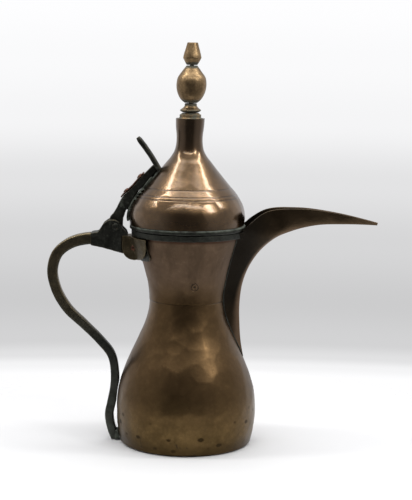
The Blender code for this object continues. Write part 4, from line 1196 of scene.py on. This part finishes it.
def cross_pin_mesh(name, radius, head, centre, seed):
    """A pin along Y through the head's cheeks, with low hammered domes at its ends."""
    half, rise = HEAD_HALF + 0.00015, 0.0009
    line = np.vstack([cap_line(head, half, rise), [(head, half), (radius, half)]])
    profile = evenly(np.vstack([line, (line * (1.0, -1.0))[::-1]]), 0.0012)
    points, outward = turned(profile, 48)
    x, y, z = np.moveaxis(dented(points, outward, profile, 0.05 * rise, 0.0012, seed, RIVET_STILL), -1, 0)
    points = np.stack([x + centre[0], z + centre[1], y + centre[2]], axis=-1)
    return joined(mesh_of(name, points, grid_quads(*x.shape)), close_ends=False)


# ---- lid -----------------------------------------------------------------------------------------

GROOVES = (0.1935, 0.1888, 0.1866)             # heights of the rings engraved in the lid
GROOVE_WIDTH = 0.00030


def make_dome():
    """Lid's dome: its outline swept round Z with the lean, hammered low down, with engraved rings.

    A groove is a bell-shaped dip, exp(-(distance/width)^2), and rows stand closer together there.
    """
    line = dome_line(1200)
    z = np.arange(DOME_TOP, DOME_LOW, -0.00048)
    extra = [np.linspace(g - 0.0008, g + 0.0008, 11) for g in GROOVES]
    z = np.sort(np.concatenate([z, [DOME_LOW], *extra]))[::-1]
    radius = np.interp(z, line[:, 1], line[:, 0])
    cut = sum(np.exp(-((z - g) / GROOVE_WIDTH)**2) for g in GROOVES)
    outer = np.column_stack([radius - sizes().groove_depth * cut, z])
    z = np.linspace(DOME_TOP, DOME_LOW, 70)
    inner = np.column_stack([np.interp(z, line[:, 1], line[:, 0]) - 0.0011, z])
    points, outward = turned(np.vstack([outer, inner[::-1]]), 256, leaning=True)
    height = outer[:, 1] - DOME_LOW
    depth = np.zeros(len(points))
    depth[:len(outer)] = smooth(height, 0.0005, 0.004) * (0.35 + 1.05 * smooth(height, 0.034, 0.018))
    return turned_mesh("dome", hammered(points, outward, depth[:, None], 71), True)


def make_band():
    """Band under the dome: a rounded ring whose edges are eaten by verdigris."""
    inside, top = BEZEL_RADIUS + FIT, BAND_TOP + 0.0002
    corners = [(LID_RADIUS, top), (LID_RADIUS, BAND_LOW), (inside, BAND_LOW), (inside, top)]
    profile = evenly(rounded(corners, 0.0012, closed=True), 0.0005)
    points, outward = turned(profile, SEGMENTS)
    dent = 0.00022 * swells(points, 0.0042, 72) + 0.00008 * swells(points, 0.0011, 73)
    return turned_mesh("band", points - dent[..., None] * outward, True)


def make_bezel():
    """Bezel: a thin collar below the lid, with a rounded lower edge."""
    lowest = low("lid_bezel").z
    inside = BEZEL_RADIUS - 0.0010
    corners = [(BEZEL_RADIUS, BAND_TOP), (BEZEL_RADIUS, lowest), (inside, lowest), (inside, BAND_TOP)]
    profile = evenly(rounded(corners, 0.0004, 3, closed=True), 0.0010)
    points, outward = turned(profile, 192)
    dent = 0.00006 * (1.0 + swells(points, 0.008, 74))
    return turned_mesh("bezel", points - dent[..., None] * outward, True)


def solid_of_turning(name, corners, radius, seed, spacing=0.0005, segments=96, uneven=0.00005):
    """A leaning turned solid from corner points, rounded, with a slightly uneven skin."""
    profile = evenly(rounded(corners, radius, 5), spacing)
    points, outward = turned(profile, segments, leaning=True)
    return turned_mesh(name, dented(points, outward, profile, uneven, 0.0032, seed), False)


def make_cap():
    """Cap of the lid's neck: a stepped plate with a plug below it."""
    top, bottom = high("neck_cap").z, low("neck_cap").z
    inside = float(dome_radius(DOME_TOP)) - 0.0016
    radius = 0.0080
    corners = [(0.0, top), (radius - 0.0016, top), (radius - 0.0010, top - 0.0008), (radius, top - 0.0011),
               (radius, DOME_TOP + 0.0008), (radius + 0.0003, DOME_TOP + 0.0003), (inside, DOME_TOP - 0.0001),
               (inside, bottom), (0.0, bottom)]
    return solid_of_turning("cap", corners, 0.0003, 81)


def make_collar():
    """Collar under the finial's ball: a sharp-edged disc that sweeps up into a stem."""
    z, top = low("finial_collar").z, high("finial_collar").z
    radius = 0.0078
    corners = [(0.0, top), (0.0046, top), (0.0045, z + 0.0050), (0.0056, z + 0.0036), (radius, z + 0.0020),
               (radius, z + 0.0013), (0.0055, z), (0.0, z)]
    return solid_of_turning("collar", corners, 0.0005, 82)


def make_ball():
    """Ball of the finial: an egg with its blunt end up and a small foot."""
    z, height = low("finial_ball").z, high("finial_ball").z - low("finial_ball").z
    radius = 0.0112
    shape = [(0.357, 1.0), (0.62, 0.86), (0.93, 0.67), (1.0, 0.47), (0.90, 0.25), (0.68, 0.09), (0.42, 0.0)]
    line = curve_through([(radius * r, z + share * height) for r, share in shape], 70)
    profile = np.vstack([[(0.0, z + height)], line, [(0.0, z)]])
    points, outward = turned(evenly(profile, 0.0010), 112, leaning=True)
    dent = 0.00012 * (1.0 - blows(points, 0.0050, 83)) + 0.00010 * (0.5 - 0.5 * swells(points, 0.007, 84))
    dent[[0, -1]] = 0.0
    return turned_mesh("ball", points - dent[..., None] * outward, False)


FLATS = 10                                     # filed round the finial's tip


def make_tip():
    """Tip of the finial: a cone on a short flare, filed into flats.

    Its radius at an angle is the circle's, cut back to the flats' distance from the axis by a share.
    """
    z, top = low("finial_tip").z, high("finial_tip").z
    radius = 0.0071
    waist = z + 0.0052
    corners = [(0.0, top), (0.56 * radius, top), (0.93 * radius, waist + 0.0023), (radius, waist),
               (0.0040, z), (0.0, z)]
    profile = evenly(rounded(corners, 0.0005, 5), 0.00045)
    points, outward = turned(profile, 128)
    turn = np.arctan2(points[..., 1], points[..., 0])
    step = 2.0 * math.pi / FLATS
    facet = math.cos(step / 2) / np.cos((turn + 0.3) % step - step / 2)
    share = 0.55 * smooth(points[..., 2], z + 0.001, waist)
    points[..., :2] *= (1.0 - share * (1.0 - facet))[..., None]
    points[..., 0] += lean(points[..., 2])
    return turned_mesh("tip", dented(points, outward, profile, 0.00006, 0.0022, 85), False)


def make_spindle():
    """Spindle inside the finial, with its peened end under the cap."""
    top, end = high("finial_spindle").z, low("finial_spindle").z
    radius, peened, shoulder = 0.0016, 0.0034, end + 0.0020
    corners = [(0.0, top), (radius, top), (radius, shoulder), (peened, shoulder), (peened, end), (0.0, end)]
    return solid_of_turning("spindle", corners, 0.0004, 86, 0.0010, 48, 0.00003)


def arm_outer_line(count):
    """Outer edge of the lid's arm as (x, z), from beside the hinge up to the thumb piece."""
    points = [(HINGE_X - 0.0044, HINGE_Z + 0.0070), (HINGE_X - 0.0009, HINGE_Z + 0.0112),
              (HINGE_X + 0.0016, HINGE_Z + 0.0163), (HINGE_X + 0.0046, HINGE_Z + 0.0217)]
    for share, away in ((0.358, 0.0088), (0.437, 0.0090), (0.545, 0.0080)):
        x, z = dome_side(share)
        points.append((x - away, z))
    return curve_through(points, count)


def make_strip():
    """Copper strip on the arm's back: a thin rounded bar carried along the arm, narrower at its ends."""
    edge = arm_outer_line(1001)[340:852]
    half = 0.00062
    line = sideways(edge, 0.5 * FIT + half)
    tangents = directions(line)
    section = bar_section(0.5, 5, 0.00055, (high("arm_strip").y, half))
    step = np.arange(len(line))
    ends = np.minimum(smooth(step, -4, 26), smooth(step[::-1], -4, 26))
    points = carried(line, tangents, section, np.column_stack([0.72 + 0.28 * ends, 0.7 + 0.3 * ends]))
    points[..., 1] += 0.00016 * swells(points, 0.0035, 91)
    return lofted_mesh("strip", points[::4])


def make_arm_rivets():
    """The two rivets on the strip, with domed heads, swept round the way that the arm faces."""
    line = arm_outer_line(101)
    seat, end = FIT + 0.0011, -0.0040
    meshes = []
    for number, index in enumerate((46, 76)):
        along = line[index + 1] - line[index - 1]
        along /= np.linalg.norm(along)
        out = np.array([-along[1], 0.0, along[0]])
        side = np.array([0.0, 1.0, 0.0])
        third = np.cross(side, out)
        shank = [(RIVET_RADIUS, seat), (RIVET_RADIUS, end), (0.0, end)]
        profile = evenly(np.vstack([cap_line(0.0024, seat, 0.0010), shank]), 0.0004)
        points, outward = turned(profile, 48)
        points = dented(points, outward, profile, 0.00008, 0.0012, 92 + number, RIVET_STILL)
        a, b, c = (points[..., k:k + 1] for k in range(3))
        centre = np.array([line[index][0], 0.0, line[index][1]])
        placed = centre + a * side + b * third + c * out
        meshes.append(joined(mesh_of("rivet", placed, grid_quads(*placed.shape[:2])), close_ends=False))
    return meshes


def make_arm_plate():
    """Plate soldered between arm and dome: rows of height, columns to both sides.

    Its half width swells in rounded scallops, the size of a half sine each.
    """
    height = DOME_TOP - DOME_LOW
    lowest, highest = DOME_LOW + 0.03 * height, DOME_LOW + 0.440 * height
    z = np.linspace(highest, lowest, 150)
    rise = (z - DOME_LOW - 0.17 * height) / (0.265 * height)
    scallops = np.abs(np.sin(math.pi * (rise - 0.22) / 0.11))
    scallops = scallops * smooth(rise, 0.20, 0.24) * smooth(rise, 0.70, 0.66)
    half = 0.0060 - 0.0026 * smooth(rise, 0.10, -0.40) + 0.0040 * scallops
    thickness = 0.0008
    lift = 1.15 + 1.5 * smooth(rise, 0.55, 1.0) + 0.9 * smooth(rise, 0.3, -0.3)
    side = half[:, None] * np.linspace(-1.0, 1.0, 61)[None, :]
    side = side + 0.0003 * swells(np.stack([side, 0.0 * side, z[:, None] + 0.0 * side], axis=-1), 0.003, 95)

    def skin(away):
        x = lean(z)[:, None] - np.sqrt((dome_radius(z) + away)[:, None]**2 - side**2)
        return np.stack([x, side, np.broadcast_to(z[:, None], side.shape)], axis=-1)

    outer = skin(FIT + thickness * lift)
    outer[..., 0] -= 0.00015 * swells(outer, 0.0025, 96)
    return slab_mesh("plate", outer, skin(TOUCH))


def make_thumb():
    """Thumb piece: a rounded bar carried along its slightly bowed line, coped to the dome."""
    x, z = dome_side(0.535)
    line = curve_through([(x + 0.0010, z - 0.0070), (x - 0.0029, z), (x - 0.0082, z + 0.0087),
                          (x - 0.0180, z + 0.0220)], 90)
    tangents = directions(line)
    section = bar_section(0.55, 6, 0.0006, (high("thumb_piece").y, 0.00190))
    end = smooth(np.arange(len(line))[::-1], -2, 7)
    points = carried(line, tangents, section, np.column_stack([0.80 + 0.20 * end, 0.60 + 0.40 * end]))
    inside = np.stack([points[..., 0] - lean(points[..., 2]), points[..., 1]], axis=-1)
    reach = np.linalg.norm(inside, axis=-1)
    grow = np.maximum(1.0, (dome_radius(points[..., 2]) + TOUCH) / reach)
    points[..., 0] = lean(points[..., 2]) + inside[..., 0] * grow
    points[..., 1] = inside[..., 1] * grow
    dent = 0.00018 * (0.5 - blows(points, 0.0050, 97)) - 0.00010 * swells(points, 0.004, 98)
    dent = dent * smooth(grow, 1.02, 1.0)
    return lofted_mesh("thumb", points - dent[..., None] * away_from(line, points))


def make_lid_solder():
    """Runs of solder that join the arm to the dome: up both its sides, and one under its top."""
    height = DOME_TOP - DOME_LOW
    meshes = []
    for side in (-1.0, 1.0):
        z = np.linspace(DOME_LOW + 0.12 * height, DOME_LOW + 0.50 * height, 160)
        wander = swells(np.stack([z, z * side, z], -1), 0.003, 99)
        half = 0.0044 + 0.0010 * np.abs(np.sin(z / 0.0019)) + 0.0006 * wander
        x = lean(z) - np.sqrt((dome_radius(z) + TOUCH)**2 - half**2)
        meshes.append(bead_mesh("lid_solder", np.column_stack([x, side * half, z]), 0.00075, 101 + int(side)))
    z = np.linspace(DOME_LOW + 0.40 * height, DOME_LOW + 0.54 * height, 80)
    middle = np.column_stack([lean(z) - dome_radius(z) - 0.0032, 0.0 * z, z])
    return meshes + [bead_mesh("lid_solder", middle, 0.0019, 103)]


# ---- stage ---------------------------------------------------------------------------------------

ROOM_DARK, ROOM_OVERHEAD, ROOM_BEHIND, ROOM_SIDES = 0.09, 0.60, 0.60, 0.38
WALL_SHADE_TONES = [(-0.225, 1.0), (-0.218, 0.91), (-0.2116, 0.76), (-0.202, 0.65), (-0.1757, 0.604),
              (-0.136, 0.672), (-0.096, 0.768), (-0.056, 0.913), (-0.016, 0.956),
              (0.023, 0.99)]                   # a direction's rise, and the wall's grey of painted shade there


def make_world():
    """Room round the pot: what the lens sees is a pale wall, and what the metal mirrors is a dim room.

    The wall's grey depends on how far a direction falls below the horizon: a band of painted shade,
    darkest a little below the horizon.  The room is dark in front, paler at the sides and behind, and light
    overhead.
    """
    world = bpy.data.worlds.new("soft_room")
    bpy.context.scene.world = world
    world.use_nodes = True
    nodes = Nodes(world.node_tree)
    x, y, z = nodes.axes(nodes.node("ShaderNodeTexCoord", {}, {}, "Generated"))
    # painted shade on the pale wall that the lens sees: a grey band below the horizon
    wall = WALL_SHADE_TONES[0][1]
    for (start, before), (end, after) in zip(WALL_SHADE_TONES, WALL_SHADE_TONES[1:]):
        wall = z.clear(start, end) * (after - before) + wall
    overhead = z.clear(0.50, 0.95)
    behind = y.clear(-0.10, 0.85)
    sides = x.abs().clear(0.45, 0.72) * 0.6 + x.abs().clear(0.60, 1.0) * 0.4
    room = ROOM_DARK + overhead * ROOM_OVERHEAD + behind * ROOM_BEHIND + sides * ROOM_SIDES
    seen = nodes.node("ShaderNodeLightPath", {}, {}, "Is Camera Ray")
    mirrored, lit = (nodes.node("ShaderNodeCombineColor", {}, {0: grey, 1: grey, 2: grey * blue})
                     for grey, blue in ((room, 1.03), (wall, 1.01)))
    shown = nodes.mix(seen, mirrored, lit)
    nodes.link(shown, world.node_tree.nodes["Background"].inputs[0])


TABLE_RADIUS = 0.26


def make_floor():
    """White table: a disc swept round Z that fades out at its edge."""
    floor = Finish("pale_table")
    away = (floor.x ** 2.0 + floor.y ** 2.0) ** 0.5
    floor.link(0.1, floor.shader.inputs["Specular IOR Level"])
    floor.link(away.clear(0.25, 0.20), floor.shader.inputs["Alpha"])
    material = floor.done((0.66, 0.66, 0.66, 1.0), 0.8, 0.0)
    points, _ = turned(np.column_stack([np.linspace(0.0, TABLE_RADIUS, 12), np.zeros(12)]), 96)
    mesh = joined(mesh_of("table", points, grid_quads(*points.shape[:2])), close_ends=False, turn_out=False)
    mesh.materials.append(material)
    made = bpy.data.objects.new("table", mesh)
    bpy.context.scene.collection.objects.link(made)


def area_light(name, location, target, size, power):
    """A soft rectangular light that looks at a target."""
    light = bpy.data.lights.new(name, "AREA")
    light.shape = "RECTANGLE"
    light.size, light.size_y = size
    light.energy = power
    made = bpy.data.objects.new(name, light)
    bpy.context.scene.collection.objects.link(made)
    direction = np.array(target) - np.array(location)
    made.location = location
    made.rotation_euler = Vector(direction).to_track_quat("-Z", "Y").to_euler()
    made.visible_camera = False


def make_lights():
    """Two long lights overhead at the sides, a thin one in front, a window and a wide one on top."""
    for side in (-1.0, 1.0):
        area_light("strip_light", (side * 0.78, -0.02, 1.10), (0.0, 0.0, 0.15), (0.070, 0.74), 4.4)
    area_light("front_light", (0.0, -0.90, 1.22), (0.0, 0.0, 0.19), (1.90, 0.030), 5.5)
    area_light("window_light", (0.74, -0.54, 0.84), (0.0, 0.0, 0.08), (0.13, 0.34), 2.4)
    area_light("top_light", (0.0, 0.15, 1.5), (0.0, 0.0, 0.1), (1.3, 1.0), 12.0)


def make_camera():
    """Camera in front of the pot, a little above it, looking slightly down."""
    data = bpy.data.cameras.new("camera")
    camera = bpy.data.objects.new("camera", data)
    bpy.context.scene.collection.objects.link(camera)
    bpy.context.scene.camera = camera
    data.sensor_width = 36.0
    data.lens = 107.31024
    data.clip_start = 0.05
    camera.location = (0.01385, -1.10448, 0.30529)
    down, roll = 0.14309, 0.01412
    camera.rotation_euler = (Euler((math.pi / 2 - down, 0.0, 0.0)).to_matrix()
                             @ Euler((0.0, 0.0, roll)).to_matrix()).to_euler()


# ---- operators -----------------------------------------------------------------------------------

class PieceOperator(bpy.types.Operator):
    """Base of the operators that make pieces of the dallah."""
    bl_options = {"REGISTER", "UNDO"}

    def execute(self, context):
        self.make()
        return {"FINISHED"}


class DALLAH_OT_belly(PieceOperator):
    """Make the belly and its bottom plate"""
    bl_idname = "dallah.belly"
    bl_label = "Belly"

    def make(self):
        place("belly", make_belly(), finish("body"), "pot", "belly_brass", "belly_shell")
        place("base_plate", make_bottom(), finish("body"), "pot", "belly_brass", "bottom_plate")


class DALLAH_OT_neck(PieceOperator):
    """Make the neck, the mouth ring and the saddle plate"""
    bl_idname = "dallah.neck"
    bl_label = "Neck"

    def make(self):
        neck = place("neck", make_neck(), finish("body"), "pot", "neck_copper", "neck_shell")
        add_wall(neck, sizes().wall)
        place("ring", make_ring(), finish("ring"), "pot", "dark_bronze", "mouth_ring")
        place("saddle", make_saddle(), finish("bronze"), "pot", "dark_bronze", "neck_saddle")


class DALLAH_OT_spout(PieceOperator):
    """Make the spout and the solder along its root"""
    bl_idname = "dallah.spout"
    bl_label = "Spout"

    def make(self):
        place("beak", make_spout(), finish("spout"), "pot", "spout_copper", "spout")
        for side, mesh in zip(("right", "left"), make_spout_beads()):
            place("spout_bead_" + side, mesh, finish("ring"), "pot", "rim_verdigris")


class DALLAH_OT_bracket(PieceOperator):
    """Make the hinge bracket, the handle's head and the rivet and pin through them"""
    bl_idname = "dallah.bracket"
    bl_label = "Bracket and head"

    def make(self):
        bracket = cast("bracket", "hinge_bracket", 0.00040, 8, 0.00014, 111, 0.00012)
        head = cast("head", "handle_head", 0.00040, 14, 0.00016, 113, 0.00012)
        centre = (low("bracket_rivet") + high("bracket_rivet")) / 2
        rivet = cross_pin_mesh("rivet", RIVET_RADIUS, high("bracket_rivet").x - centre.x, centre, 115)
        pin = cross_pin_mesh("pin", PIN_RADIUS, PIN_HEAD, (HINGE_X, 0.0, HINGE_Z), 116)
        place("bracket", bracket, finish("bracket"), "pot", "dark_bronze", "hinge_bracket")
        place("head", head, finish("bronze"), "pot", "dark_bronze", "handle_head")
        place("rivet", rivet, finish("copper"), "pot", "red_copper", "bracket_rivet")
        place("pin", pin, finish("bronze"), "pot", "dark_bronze", "hinge_pin")


class DALLAH_OT_handle(PieceOperator):
    """Make the handle's bar and the solder at its foot"""
    bl_idname = "dallah.handle"
    bl_label = "Handle"

    def make(self):
        place("bar", make_handle(), finish("handle"), "pot", "dark_bronze", "handle_bar")
        bead = cast("foot_bead", "foot_solder", 0.00035, 8, 0.00030, 117)
        place("foot_bead", bead, finish("solder"), "pot", "rim_verdigris", "foot_solder")


class DALLAH_OT_lid(PieceOperator):
    """Make the lid's dome, its band and its bezel"""
    bl_idname = "dallah.lid"
    bl_label = "Lid"

    def make(self):
        place("dome", make_dome(), finish("lid"), "lid", "lid_copper", "lid_dome")
        place("band", make_band(), finish("band"), "lid", "rim_verdigris", "lid_rim_band")
        place("bezel", make_bezel(), finish("tin"), "lid", "tinned_inside", "lid_bezel")


class DALLAH_OT_finial(PieceOperator):
    """Make the finial's cap, collar, ball, tip and spindle"""
    bl_idname = "dallah.finial"
    bl_label = "Finial"

    def make(self):
        for name, maker, node, look in (("cap", make_cap, "neck_cap", "cap"),
                                        ("collar", make_collar, "finial_collar", "finial"),
                                        ("ball", make_ball, "finial_ball", "finial"),
                                        ("tip", make_tip, "finial_tip", "finial"),
                                        ("spindle", make_spindle, "finial_spindle", "finial")):
            place(name, maker(), finish(look), "lid", "finial_brass", node)


class DALLAH_OT_arm(PieceOperator):
    """Make the lid's arm with its plate, strip, rivets, solder and thumb piece"""
    bl_idname = "dallah.arm"
    bl_label = "Arm and thumb piece"

    def make(self):
        arm = cast("arm", "lid_arm", 0.00042, 10, 0.00018, 121, 0.00010)
        place("arm", arm, finish("arm"), "lid", "dark_bronze", "lid_arm")
        place("plate", make_arm_plate(), finish("solder"), "lid", "rim_verdigris", "arm_plate")
        place("strip", make_strip(), finish("copper"), "lid", "red_copper", "arm_strip")
        for number, mesh in enumerate(make_arm_rivets(), start=1):
            place(f"strip_rivet_{number}", mesh, finish("copper"), "lid", "red_copper", f"arm_rivet_{number}")
        for side, mesh in zip(("right", "left", "top"), make_lid_solder()):
            place("lid_solder_" + side, mesh, finish("solder"), "lid", "rim_verdigris")
        place("thumb", make_thumb(), finish("arm"), "lid", "dark_bronze", "thumb_piece")


class DALLAH_OT_stage(PieceOperator):
    """Make the room, the pale table, the soft lights and the camera"""
    bl_idname = "dallah.stage"
    bl_label = "Stage"

    def make(self):
        bpy.context.scene.view_settings.view_transform = "Standard"
        make_world()
        make_floor()
        make_lights()
        make_camera()


class DALLAH_PT_panel(bpy.types.Panel):
    """Lists the operators and what can be set"""
    bl_idname = "DALLAH_PT_panel"
    bl_label = "Dallah"
    bl_space_type = "VIEW_3D"
    bl_region_type = "UI"
    bl_category = "Dallah"

    def draw(self, context):
        column = self.layout.column(align=True)
        for operator in OPERATORS:
            column.operator(operator.bl_idname)
        for group in (context.scene.dallah_sizes, context.scene.dallah_colours):
            column = self.layout.column(align=True)
            for name in type(group).__annotations__:
                column.prop(group, name)


OPERATORS = (DALLAH_OT_stage, DALLAH_OT_belly, DALLAH_OT_neck, DALLAH_OT_spout, DALLAH_OT_bracket,
             DALLAH_OT_handle, DALLAH_OT_lid, DALLAH_OT_finial, DALLAH_OT_arm)
CLASSES = (DallahSizes, DallahColours, *OPERATORS, DALLAH_PT_panel)


def register():
    """Register the classes and hang the settings on the scene."""
    for cls in CLASSES:
        bpy.utils.register_class(cls)
    bpy.types.Scene.dallah_sizes = PointerProperty(type=DallahSizes)
    bpy.types.Scene.dallah_colours = PointerProperty(type=DallahColours)


def unregister():
    """Undo register."""
    del bpy.types.Scene.dallah_colours
    del bpy.types.Scene.dallah_sizes
    for cls in reversed(CLASSES):
        bpy.utils.unregister_class(cls)


def main():
    """Make every piece."""
    register()
    for operator in OPERATORS:
        group, name = operator.bl_idname.split(".")
        getattr(getattr(bpy.ops, group), name)()
    bpy.context.view_layer.update()


if __name__ == "__main__":
    main()
